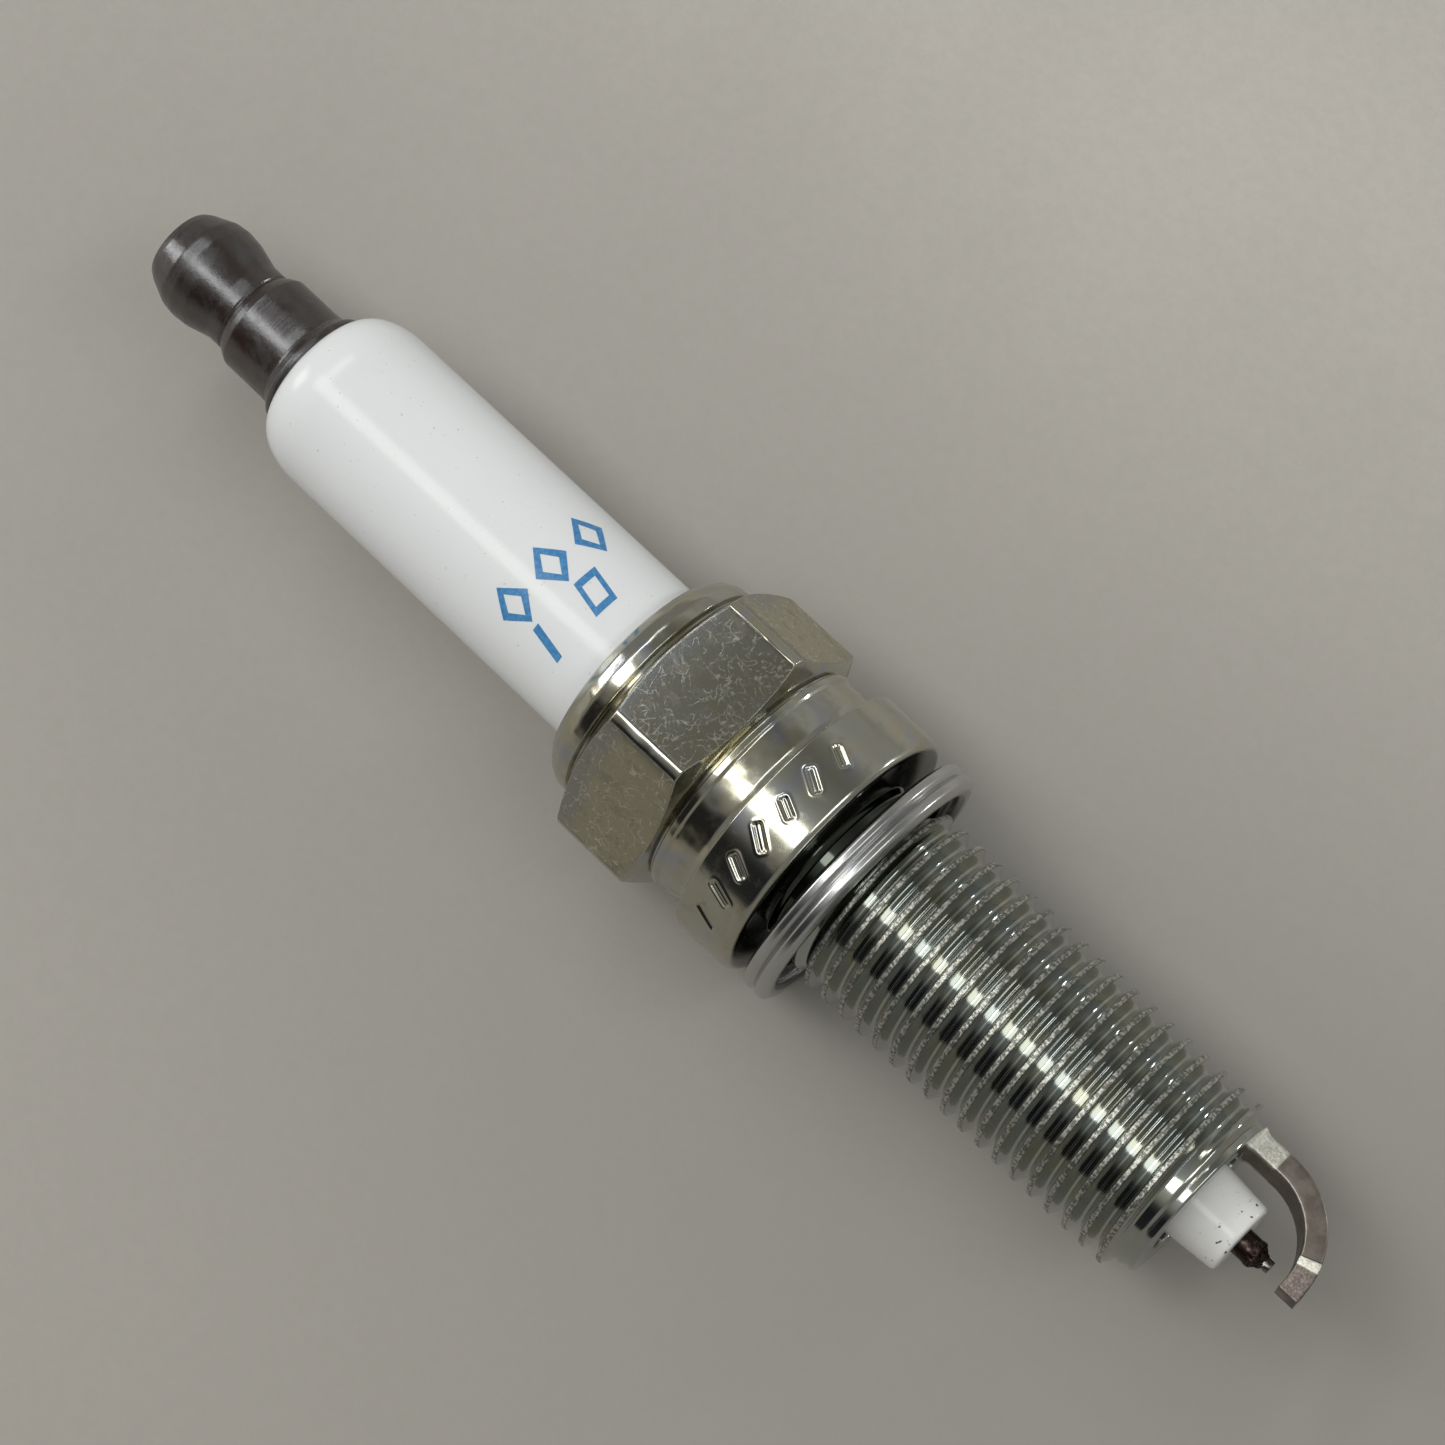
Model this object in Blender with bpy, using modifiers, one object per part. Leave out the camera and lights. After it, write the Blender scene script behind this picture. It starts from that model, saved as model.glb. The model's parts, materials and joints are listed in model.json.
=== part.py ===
"""Spark plug for a motorcycle engine: M12 x 1.25 thread, 26.5 mm reach, 16 mm hexagon.

The plug lies along +X with its firing end at +X.  The origin is on the plug's axis, in the plane
of the shell's gasket seat.  One pair of hexagon flats faces up and down, and the ground electrode
bends in the horizontal plane.

Lengths below are in millimetres.  MM turns them into Blender's metres.
"""
import math

import bmesh
import bpy
from mathutils import Matrix, Vector

MM = 0.001
FIT_GAP = 0.3                  # free space left between pieces that touch on the real plug
WELD_GAP = 0.12                # the same, at the two welded joints

# Thread and shell
THREAD_MAJOR_R = 5.92
THREAD_PITCH = 1.25
THREAD_DEPTH = 0.68
THREAD_CREST_WIDTH = 0.25
THREAD_BURIED = 0.05           # how far the ridge's foot goes under the root surface
THREAD_FIRST_CREST_Z = 2.93    # first full crest, on the +Y side
THREAD_LAST_CREST_Z = 24.9
THREAD_FADE_TURNS = 0.75
THREAD_FADE_FLOOR = 0.03       # the ridge's least height, as a share of its full height
FLANK_ANGLE = math.radians(30.0)
REACH = 26.5
UNDERCUT_END_Z = 1.8
THREAD_ROOT_LOW_Z = 2.1
THREAD_ROOT_HIGH_Z = 25.8
PILOT_START_Z = 25.9
PILOT_R = 5.1
UNDERCUT_R = 5.0
SHELL_EDGE = 0.35              # bevel of the pilot's end, and fillet of the undercut
SEAT_R = 8.33
SEAT_EDGE_R = 0.7
SEAT_COLLAR_LENGTH = 3.9
SEAT_COLLAR_BACK_EDGE = 0.15
NECK_R = 7.43
NECK_FILLET = 0.25
NECK_BEAD_HEIGHT = 0.14        # small bead at the hexagon's foot
NECK_BEAD_LOW_Z = -6.55
NECK_BEAD_HIGH_Z = -6.3
NECK_BEAD_END_Z = -6.15
HEX_CORE_R = 7.33              # shell under the hexagon's ring
HEX_OVERLAP = 0.02
HEX_ACROSS_FLATS = 16.0
HEX_CORNER_R = 8.97
HEX_LOW_Z = -12.95             # terminal side of the hexagon
HEX_HIGH_Z = -6.7              # gasket side of the hexagon
HEX_CHAMFER_LENGTH = 0.69
CRIMP_R = 7.36
CRIMP_NECK_R = 6.96            # groove between hexagon and crimp
CRIMP_MIDDLE_Z = -14.1
CRIMP_END_Z = -15.45
HEAD_BORE_R = 6.5
SHELL_BORE_R = 4.2
NOSE_BORE_R = 3.4
LEDGE_Z = 12.0
LEDGE_LENGTH = 0.7
HEAD_BORE_END_Z = -4.6
SHELL_BORE_START_Z = -2.6

# Insulator
INSULATOR_R = 5.33
INSULATOR_TOP_Z = -40.6
INSULATOR_TIP_Z = 29.5
INSULATOR_SHOULDER_Z = -37.4
INSULATOR_TOP_R = 3.4
NOSE_TIP_R = 2.15
NOSE_EDGE_R = 0.35
NOSE_MIDDLE_R = 2.4
NOSE_FOOT_R = 2.95
FLANGE_HIGH_Z = -5.2
FLANGE_LOW_Z = -9.3
FLANGE_EDGE = 0.1
FLANGE_R = HEAD_BORE_R - FIT_GAP
STEM_R = SHELL_BORE_R - FIT_GAP
STUD_BORE_R = 1.95
STUD_BORE_END_Z = 7.0
ELECTRODE_BORE_START_Z = 7.9
ELECTRODE_BORE_R = 1.1

# Terminal stud
TERMINAL_TIP_Z = -52.1
TERMINAL_HEAD_R = 3.18
TERMINAL_WAIST_R = 2.68
TERMINAL_COLLAR_R = 3.15
TERMINAL_FLANGE_R = 3.75
TERMINAL_FACE_R = 1.95
STUD_R = 1.6
STUD_END_Z = -13.0
STUD_EDGE = 0.15
STUD_GROOVES = 3
STUD_GROOVE_PITCH = 0.8
STUD_GROOVE_DEPTH = 0.2

# Parts inside the insulator's bore
CORE_R = STUD_BORE_R - FIT_GAP
UPPER_SEAL_END_Z = -9.2
RESISTOR_END_Z = 1.0
ELECTRODE_HEAD_Z = 5.9
ELECTRODE_R = ELECTRODE_BORE_R - FIT_GAP
ELECTRODE_TIP_Z = 30.75
COPPER_HOLE_R = 0.5
COPPER_HOLE_END_Z = 27.0
COPPER_R = 0.35
IRIDIUM_R = 0.37
IRIDIUM_TIP_Z = 31.58

# Packing between insulator and shell head
PACKING_WIRE_R = 0.34
PACKING_MEAN_R = (INSULATOR_R + HEAD_BORE_R) / 2.0
UPPER_PACKING_Z = -13.55
LOWER_PACKING_Z = -10.65

# Loose ring gasket
GASKET_R = 8.2
GASKET_BORE_R = 6.1
GASKET_BEAD_INNER_R = 7.0
GASKET_THICKNESS = 1.76
GASKET_WEB_THICKNESS = 0.5
GASKET_SEAM_DEPTH = 0.22
GASKET_FLAT_WIDTH = 0.5
GASKET_LEAN = math.radians(3.9)

# Ground electrode strap
STRAP_WIDTH = 2.7
STRAP_THICKNESS = 1.25
STRAP_OFFSET = 4.3             # strap's mid line from the plug's axis, where it is welded on
STRAP_STRAIGHT_END = 28.65
STRAP_BEND_R = 4.5
STRAP_END_Y = -0.6
STRAP_TAPER_LENGTH = 2.1
STRAP_END_WIDTH = 1.6
STRAP_EDGE_R = 0.15

ROUND_STEPS = 32               # segments round the large pieces; the thread uses them too
SMALL_STEPS = 20
SHADE_ANGLE = math.radians(35.0)

FINISHES = {
    "zinc_plate": ((0.62, 0.63, 0.58), 0.25, 1.0),
    "gasket_steel": ((0.66, 0.67, 0.66), 0.3, 1.0),
    "glazed_ceramic": ((0.86, 0.87, 0.85), 0.15, 0.0),
    "dark_steel": ((0.10, 0.09, 0.085), 0.35, 1.0),
    "nickel_alloy": ((0.33, 0.30, 0.27), 0.4, 1.0),
    "copper": ((0.72, 0.36, 0.22), 0.35, 1.0),
    "iridium": ((0.30, 0.27, 0.24), 0.45, 1.0),
    "glass_seal": ((0.16, 0.12, 0.09), 0.3, 0.2),
    "resistor_body": ((0.06, 0.06, 0.065), 0.7, 0.0),
    "packing_steel": ((0.45, 0.45, 0.44), 0.4, 1.0),
    "talc": ((0.80, 0.79, 0.74), 0.95, 0.0),
}


def clear_scene():
    for old in list(bpy.data.objects):
        bpy.data.objects.remove(old, do_unlink=True)


def new_collection(name):
    collection = bpy.data.collections.new(name)
    bpy.context.scene.collection.children.link(collection)
    return collection


def finish_material(name):
    """Return the named finish as a Principled material, made once."""
    if name in bpy.data.materials:
        return bpy.data.materials[name]
    color, roughness, metallic = FINISHES[name]
    material = bpy.data.materials.new(name)
    material.use_nodes = True
    shader = material.node_tree.nodes["Principled BSDF"]
    shader.inputs["Base Color"].default_value = (*color, 1.0)
    shader.inputs["Roughness"].default_value = roughness
    shader.inputs["Metallic"].default_value = metallic
    material.diffuse_color = (*color, 1.0)
    return material


def new_object(name, mesh, collection, parent=None):
    obj = bpy.data.objects.new(name, mesh)
    collection.objects.link(obj)
    obj.parent = parent
    return obj


def bake(obj):
    """Replace an object's mesh by its shape with the modifiers applied."""
    bpy.context.view_layer.update()
    shaped = obj.evaluated_get(bpy.context.evaluated_depsgraph_get())
    mesh = bpy.data.meshes.new_from_object(shaped)
    obj.modifiers.clear()
    obj.data = mesh
    return obj


def finish(obj, material_name, smooth=True):
    """Apply the modifiers, give the piece its material and shade its round faces smooth."""
    bake(obj)
    obj.data.materials.clear()
    obj.data.materials.append(finish_material(material_name))
    if smooth:
        obj.data.shade_smooth()
        obj.data.set_sharp_from_angle(angle=SHADE_ANGLE)
    return obj


def turned(name, profile, collection, parent, steps=ROUND_STEPS):
    """Turn a profile of (radius, z) points about the local Z axis.

    The points run down the outer side from high z to low z.  A profile that starts and ends on
    the axis makes a solid.  Any other profile goes on up its bore, and is closed into a ring.
    """
    on_axis = profile[0][0] == 0.0 and profile[-1][0] == 0.0
    mesh = bpy.data.meshes.new(name)
    bm = bmesh.new()
    points = [bm.verts.new((r * MM, 0.0, z * MM)) for r, z in profile]
    for first, second in zip(points, points[1:]):
        bm.edges.new((first, second))
    if not on_axis:
        bm.edges.new((points[-1], points[0]))
    bm.to_mesh(mesh)
    bm.free()
    obj = new_object(name, mesh, collection, parent)
    screw = obj.modifiers.new("turn", "SCREW")
    screw.axis = "Z"
    screw.angle = math.tau
    screw.steps = steps
    screw.render_steps = steps
    screw.use_merge_vertices = True
    screw.merge_threshold = 0.00001
    return obj


def boolean(obj, other, operation):
    """Apply one exact Boolean and remove the other object."""
    modifier = obj.modifiers.new("boolean", "BOOLEAN")
    modifier.operation = operation
    modifier.solver = "EXACT"
    modifier.object = other
    bake(obj)
    bpy.data.objects.remove(other, do_unlink=True)


def arc(center_r, center_z, radius_r, radius_z, start, end, count):
    """Points on an elliptical arc of a profile, from start to end degrees, both included."""
    points = []
    for i in range(count + 1):
        angle = math.radians(start + (end - start) * i / count)
        points.append((center_r + radius_r * math.cos(angle), center_z + radius_z * math.sin(angle)))
    return points


# Shell ------------------------------------------------------------------------------------------

def shell_profile():
    root_r = THREAD_MAJOR_R - THREAD_DEPTH
    collar_top = -SEAT_COLLAR_LENGTH
    outer = [
        (NOSE_BORE_R + 0.1, REACH),
        (PILOT_R - SHELL_EDGE, REACH),
        (PILOT_R, REACH - SHELL_EDGE),
        (PILOT_R, PILOT_START_Z),
        (root_r, THREAD_ROOT_HIGH_Z),
        (root_r, THREAD_ROOT_LOW_Z),
        (UNDERCUT_R, UNDERCUT_END_Z),
        (UNDERCUT_R, SHELL_EDGE),
        (UNDERCUT_R + SHELL_EDGE, 0.0),
    ]
    outer += arc(SEAT_R - SEAT_EDGE_R, -SEAT_EDGE_R, SEAT_EDGE_R, SEAT_EDGE_R, 90, 0, 3)
    outer += [
        (SEAT_R, collar_top + SEAT_COLLAR_BACK_EDGE),
        (SEAT_R - SEAT_COLLAR_BACK_EDGE, collar_top),
        (NECK_R + NECK_FILLET, collar_top),
        (NECK_R, collar_top - NECK_FILLET),
        (NECK_R, NECK_BEAD_END_Z),
        (NECK_R + NECK_BEAD_HEIGHT, NECK_BEAD_HIGH_Z),
        (NECK_R + NECK_BEAD_HEIGHT, NECK_BEAD_LOW_Z),
        (HEX_CORE_R, HEX_HIGH_Z),
        (HEX_CORE_R, HEX_LOW_Z),
        (CRIMP_NECK_R, HEX_LOW_Z - 0.1),
        (CRIMP_NECK_R, HEX_LOW_Z - 0.3),
    ]
    lip_r = INSULATOR_R + FIT_GAP
    outer += arc(lip_r, CRIMP_MIDDLE_Z, CRIMP_R - lip_r, CRIMP_MIDDLE_Z - CRIMP_END_Z, 20, -90, 5)
    inner = [
        (lip_r, CRIMP_END_Z + 0.55),
        (lip_r + 0.6, CRIMP_END_Z + 0.95),
        (HEAD_BORE_R, CRIMP_END_Z + 1.45),
        (HEAD_BORE_R, HEAD_BORE_END_Z),
        (SHELL_BORE_R, SHELL_BORE_START_Z),
        (SHELL_BORE_R, LEDGE_Z),
        (NOSE_BORE_R, LEDGE_Z + LEDGE_LENGTH),
        (NOSE_BORE_R, REACH - 0.1),
    ]
    return outer + inner


def hexagon_ring(collection, cutters, parent):
    """The hexagon's blank, turned with a chamfer at each end, cut to six flats."""
    inner_r = (HEAD_BORE_R + HEX_CORE_R) / 2.0
    profile = [
        (inner_r, HEX_HIGH_Z - HEX_OVERLAP),
        (NECK_R, HEX_HIGH_Z - HEX_OVERLAP),
        (HEX_CORNER_R, HEX_HIGH_Z - HEX_CHAMFER_LENGTH),
        (HEX_CORNER_R, HEX_LOW_Z + HEX_CHAMFER_LENGTH),
        (NECK_R, HEX_LOW_Z + HEX_OVERLAP),
        (inner_r, HEX_LOW_Z + HEX_OVERLAP),
    ]
    ring = bake(turned("hexagon_blank", profile, collection, parent))
    prism_mesh = bpy.data.meshes.new("hexagon_prism")
    bm = bmesh.new()
    corner_r = HEX_ACROSS_FLATS / 2.0 / math.cos(math.radians(30.0)) * MM
    middle = Matrix.Translation((0.0, 0.0, (HEX_HIGH_Z + HEX_LOW_Z) / 2.0 * MM))
    bmesh.ops.create_cone(bm, cap_ends=True, segments=6, radius1=corner_r, radius2=corner_r,
                          depth=10.0 * MM, matrix=middle)
    bm.to_mesh(prism_mesh)
    bm.free()
    prism = new_object("hexagon_prism", prism_mesh, cutters, parent)
    boolean(ring, prism, "INTERSECT")
    return ring


def thread_ridge(collection, parent):
    """The thread's ridge, lofted along its helix and sunk into the root surface at both ends."""
    foot_r = THREAD_MAJOR_R - THREAD_DEPTH - THREAD_BURIED
    first_angle = math.radians(90.0) - THREAD_FADE_TURNS * math.tau
    first_z = THREAD_FIRST_CREST_Z - THREAD_FADE_TURNS * THREAD_PITCH
    turns = (THREAD_LAST_CREST_Z - first_z) / THREAD_PITCH
    sections = int(turns * ROUND_STEPS)
    bm = bmesh.new()
    rows = []
    for i in range(sections + 1):
        turn = i / ROUND_STEPS
        to_end = (sections - i) / ROUND_STEPS
        fade = min(1.0, turn / THREAD_FADE_TURNS, to_end / THREAD_FADE_TURNS)
        share = max(THREAD_FADE_FLOOR, math.sin(fade * math.pi / 2.0))
        height = (THREAD_DEPTH + THREAD_BURIED) * share
        half_crest = THREAD_CREST_WIDTH / 2.0
        half_foot = half_crest + height * math.tan(FLANK_ANGLE)
        angle = first_angle + turn * math.tau
        z = first_z + turn * THREAD_PITCH
        row = []
        for r, dz in ((foot_r, -half_foot), (foot_r + height, -half_crest),
                      (foot_r + height, half_crest), (foot_r, half_foot)):
            row.append(bm.verts.new((r * math.cos(angle) * MM, r * math.sin(angle) * MM, (z + dz) * MM)))
        rows.append(row)
    for row, following in zip(rows, rows[1:]):
        for k in range(4):
            n = (k + 1) % 4
            bm.faces.new((row[k], row[n], following[n], following[k]))
    bm.faces.new(rows[0])
    bm.faces.new(reversed(rows[-1]))
    bmesh.ops.recalc_face_normals(bm, faces=bm.faces)
    mesh = bpy.data.meshes.new("thread_ridge")
    bm.to_mesh(mesh)
    bm.free()
    return new_object("thread_ridge", mesh, collection, parent)


def metal_shell(collection, cutters, parent):
    shell = bake(turned("metal_shell", shell_profile(), collection, parent))
    boolean(shell, hexagon_ring(collection, cutters, parent), "UNION")
    boolean(shell, thread_ridge(collection, parent), "UNION")
    return finish(shell, "zinc_plate")


# Insulator and the parts sealed in its bore -------------------------------------------------------

def insulator(collection, parent):
    outer = [(ELECTRODE_BORE_R, INSULATOR_TIP_Z)]
    outer += arc(NOSE_TIP_R - NOSE_EDGE_R, INSULATOR_TIP_Z - NOSE_EDGE_R, NOSE_EDGE_R, NOSE_EDGE_R,
                 90, 10, 2)
    outer += [
        (NOSE_MIDDLE_R, REACH),
        (NOSE_FOOT_R, LEDGE_Z - 0.1),
        (STEM_R, LEDGE_Z - 1.0),
        (STEM_R, SHELL_BORE_START_Z - 0.5),
        (FLANGE_R - FLANGE_EDGE, FLANGE_HIGH_Z + 0.2),
        (FLANGE_R, FLANGE_HIGH_Z),
        (FLANGE_R, FLANGE_LOW_Z),
        (FLANGE_R - FLANGE_EDGE, FLANGE_LOW_Z - 0.2),
        (INSULATOR_R, FLANGE_LOW_Z - 0.7),
    ]
    outer += arc(INSULATOR_TOP_R, INSULATOR_SHOULDER_Z, INSULATOR_R - INSULATOR_TOP_R,
                 INSULATOR_SHOULDER_Z - INSULATOR_TOP_Z, 0, -90, 6)
    inner = [
        (STUD_BORE_R, INSULATOR_TOP_Z),
        (STUD_BORE_R, STUD_BORE_END_Z),
        (ELECTRODE_BORE_R, ELECTRODE_BORE_START_Z),
    ]
    return finish(turned("insulator", outer + inner, collection, parent), "glazed_ceramic")


def terminal_stud(collection, parent):
    """Barrel head, waist, collar and flange in one piece with the shank sealed in the insulator."""
    flange_under_z = INSULATOR_TOP_Z - FIT_GAP
    profile = [(0.0, STUD_END_Z), (STUD_R - STUD_EDGE, STUD_END_Z), (STUD_R, STUD_END_Z - STUD_EDGE)]
    for groove in range(STUD_GROOVES):
        z = STUD_END_Z - 0.5 - STUD_GROOVE_PITCH * groove
        profile += [
            (STUD_R, z),
            (STUD_R - STUD_GROOVE_DEPTH, z - STUD_GROOVE_DEPTH),
            (STUD_R, z - 2.0 * STUD_GROOVE_DEPTH),
        ]
    profile += [
        (STUD_R, flange_under_z),
        (TERMINAL_FLANGE_R, flange_under_z),
        (TERMINAL_FLANGE_R, flange_under_z - 0.3),
        (TERMINAL_COLLAR_R, flange_under_z - 1.2),
        (TERMINAL_COLLAR_R, flange_under_z - 4.3),
        (TERMINAL_WAIST_R + 0.1, flange_under_z - 5.05),
        (TERMINAL_WAIST_R, flange_under_z - 5.2),
        (TERMINAL_WAIST_R, flange_under_z - 6.3),
        (TERMINAL_HEAD_R - 0.1, flange_under_z - 7.8),
        (TERMINAL_HEAD_R, flange_under_z - 8.6),
        (TERMINAL_HEAD_R - 0.06, flange_under_z - 9.3),
        (2.6, TERMINAL_TIP_Z + 0.65),
        (2.35, TERMINAL_TIP_Z + 0.2),
        (TERMINAL_FACE_R, TERMINAL_TIP_Z),
        (0.0, TERMINAL_TIP_Z),
    ]
    return finish(turned("terminal_stud", profile, collection, parent, SMALL_STEPS), "dark_steel")


def bore_filling(name, high_z, low_z, material_name, collection, parent):
    """A cylindrical charge that fills a length of the insulator's bore."""
    edge = 0.1
    profile = [
        (0.0, high_z),
        (CORE_R - edge, high_z),
        (CORE_R, high_z - edge),
        (CORE_R, low_z + edge),
        (CORE_R - edge, low_z),
        (0.0, low_z),
    ]
    return finish(turned(name, profile, collection, parent, SMALL_STEPS), material_name)


def center_electrode(collection, parent):
    """Nickel sheath with a head that seats in the insulator, open at the back for its copper core."""
    profile = [
        (0.0, ELECTRODE_TIP_Z),
        (0.55, ELECTRODE_TIP_Z),
        (ELECTRODE_R, ELECTRODE_TIP_Z - 0.35),
        (ELECTRODE_R, 7.5),
        (1.5, 6.7),
        (1.5, ELECTRODE_HEAD_Z),
        (COPPER_HOLE_R, ELECTRODE_HEAD_Z),
        (COPPER_HOLE_R, COPPER_HOLE_END_Z),
        (0.0, COPPER_HOLE_END_Z + 0.3),
    ]
    return finish(turned("center_electrode", profile, collection, parent, SMALL_STEPS), "nickel_alloy")


def copper_core(collection, parent):
    profile = [
        (0.0, COPPER_HOLE_END_Z - 0.1),
        (COPPER_R, COPPER_HOLE_END_Z - FIT_GAP),
        (COPPER_R, ELECTRODE_HEAD_Z + FIT_GAP),
        (0.0, ELECTRODE_HEAD_Z + FIT_GAP),
    ]
    return finish(turned("center_electrode_copper_core", profile, collection, parent, 12), "copper")


def iridium_tip(collection, parent):
    low_z = ELECTRODE_TIP_Z + WELD_GAP
    profile = [
        (0.0, IRIDIUM_TIP_Z),
        (IRIDIUM_R, IRIDIUM_TIP_Z),
        (IRIDIUM_R, low_z + 0.3),
        (0.45, low_z),
        (0.0, low_z),
    ]
    return finish(turned("iridium_tip", profile, collection, parent, SMALL_STEPS), "iridium")


# Packing that seals the insulator in the shell -----------------------------------------------------

def packing_ring(name, z, collection, parent):
    profile = arc(PACKING_MEAN_R, z, PACKING_WIRE_R, PACKING_WIRE_R, 90, -225, 7)
    return finish(turned(name, profile, collection, parent, SMALL_STEPS), "packing_steel")


def talc_packing(collection, parent):
    high_z = LOWER_PACKING_Z - PACKING_WIRE_R - FIT_GAP
    low_z = UPPER_PACKING_Z + PACKING_WIRE_R + FIT_GAP
    inner_r = INSULATOR_R + 0.25
    outer_r = HEAD_BORE_R - 0.25
    profile = [(inner_r, high_z), (outer_r, high_z), (outer_r, low_z), (inner_r, low_z)]
    return finish(turned("talc_packing", profile, collection, parent, SMALL_STEPS), "talc", False)


def seat_packing_washer(collection, parent):
    """Conical sealing washer between the insulator's lower shoulder and the shell's ledge."""
    outer_r = STEM_R - 0.02
    inner_r = NOSE_BORE_R + 0.02
    profile = [
        (inner_r, LEDGE_Z + 0.38),
        (outer_r, LEDGE_Z - 0.04),
        (outer_r, LEDGE_Z - 0.68),
        (inner_r, LEDGE_Z - 0.24),
    ]
    return finish(turned("seat_packing_washer", profile, collection, parent, SMALL_STEPS),
                  "packing_steel", False)


# Loose ring gasket ---------------------------------------------------------------------------------

def gasket_profile():
    """Folded sheet ring: two beads that meet at an outer seam, and a thin web inside them."""
    half = GASKET_THICKNESS / 2.0
    web = GASKET_WEB_THICKNESS / 2.0
    bead_r = (GASKET_R + GASKET_BEAD_INNER_R) / 2.0
    flat = GASKET_FLAT_WIDTH / 2.0
    side = [
        (GASKET_BORE_R, web),
        (GASKET_BEAD_INNER_R + 0.05, web),
        (GASKET_BEAD_INNER_R, half * 0.6),
        (bead_r - flat, half),
        (bead_r + flat, half),
        (GASKET_R - 0.08, half * 0.8),
        (GASKET_R, half * 0.5),
        (GASKET_R - 0.06, half * 0.2),
    ]
    seam = (GASKET_R - GASKET_SEAM_DEPTH, 0.0)
    other_side = [(r, -z) for r, z in reversed(side)]
    return side + [seam] + other_side


def ring_gasket(collection):
    """Place the ring on the hinge line at its lowest point, leaning away from the seat at the top."""
    hinge = bpy.data.objects.new("gasket_hinge", None)
    collection.objects.link(hinge)
    hinge.location = (FIT_GAP * MM, 0.0, -GASKET_R * MM)
    hinge.rotation_euler = (0.0, GASKET_LEAN, 0.0)
    ring = turned("ring_gasket", gasket_profile(), collection, hinge)
    ring.location = (GASKET_THICKNESS / 2.0 * MM, 0.0, GASKET_R * MM)
    ring.rotation_euler = (0.0, math.radians(90.0), 0.0)
    return finish(ring, "gasket_steel")


# Ground electrode ----------------------------------------------------------------------------------

def strap_outline():
    """The strap's side view: straight off the shell, a quarter turn, and a short end past the axis."""
    half = STRAP_THICKNESS / 2.0
    bend_y = STRAP_OFFSET - STRAP_BEND_R
    start_x = REACH + WELD_GAP
    outer = [(start_x, STRAP_OFFSET + half)]
    inner = [(start_x, STRAP_OFFSET - half)]
    count = 12
    for i in range(count + 1):
        angle = math.radians(90.0 * (1.0 - i / count))
        for side, radius in ((outer, STRAP_BEND_R + half), (inner, STRAP_BEND_R - half)):
            side.append((STRAP_STRAIGHT_END + radius * math.cos(angle), bend_y + radius * math.sin(angle)))
    outer.append((STRAP_STRAIGHT_END + STRAP_BEND_R + half, STRAP_END_Y))
    inner.append((STRAP_STRAIGHT_END + STRAP_BEND_R - half, STRAP_END_Y))
    return outer + inner[::-1]


def taper_cutter(side, cutters):
    """A block whose inner face trims one side of the strap's end; side is 1 for top, -1 for bottom."""
    size = 4.0
    mesh = bpy.data.meshes.new("taper_cutter")
    bm = bmesh.new()
    bmesh.ops.create_cube(bm, size=size * MM)
    bm.to_mesh(mesh)
    bm.free()
    drop = (STRAP_WIDTH - STRAP_END_WIDTH) / 2.0
    slope = math.atan2(drop, STRAP_TAPER_LENGTH)
    edge = Vector((STRAP_STRAIGHT_END + STRAP_BEND_R, STRAP_END_Y, STRAP_END_WIDTH / 2.0))
    outward = Vector((0.0, -math.sin(slope), math.cos(slope)))
    center = edge + outward * (size / 2.0)
    cutter = new_object("taper_cutter", mesh, cutters)
    cutter.hide_render = True
    cutter.display_type = "WIRE"
    cutter.location = (center.x * MM, center.y * MM, side * center.z * MM)
    cutter.rotation_euler = (side * slope, 0.0, 0.0)
    return cutter


def ground_electrode(collection, cutters):
    curve = bpy.data.curves.new("strap_outline", "CURVE")
    curve.dimensions = "2D"
    curve.fill_mode = "BOTH"
    curve.extrude = STRAP_WIDTH / 2.0 * MM
    outline = strap_outline()
    spline = curve.splines.new("POLY")
    spline.points.add(len(outline) - 1)
    for point, (x, y) in zip(spline.points, outline):
        point.co = (x * MM, y * MM, 0.0, 1.0)
    spline.use_cyclic_u = True
    outline_object = new_object("strap_outline", curve, cutters)
    bpy.context.view_layer.update()
    shaped = outline_object.evaluated_get(bpy.context.evaluated_depsgraph_get())
    mesh = bpy.data.meshes.new_from_object(shaped)
    bpy.data.objects.remove(outline_object, do_unlink=True)
    bm = bmesh.new()
    bm.from_mesh(mesh)
    bmesh.ops.remove_doubles(bm, verts=bm.verts, dist=0.000001)
    bmesh.ops.dissolve_limit(bm, angle_limit=math.radians(1.0), verts=bm.verts, edges=bm.edges)
    bmesh.ops.recalc_face_normals(bm, faces=bm.faces)
    bm.to_mesh(mesh)
    bm.free()
    strap = new_object("ground_electrode", mesh, collection)
    bevel = strap.modifiers.new("edges", "BEVEL")
    bevel.width = STRAP_EDGE_R * MM
    bevel.segments = 1
    bevel.limit_method = "ANGLE"
    bevel.angle_limit = math.radians(50.0)
    bake(strap)
    for side in (1, -1):
        boolean(strap, taper_cutter(side, cutters), "DIFFERENCE")
    return finish(strap, "nickel_alloy", False)


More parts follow.
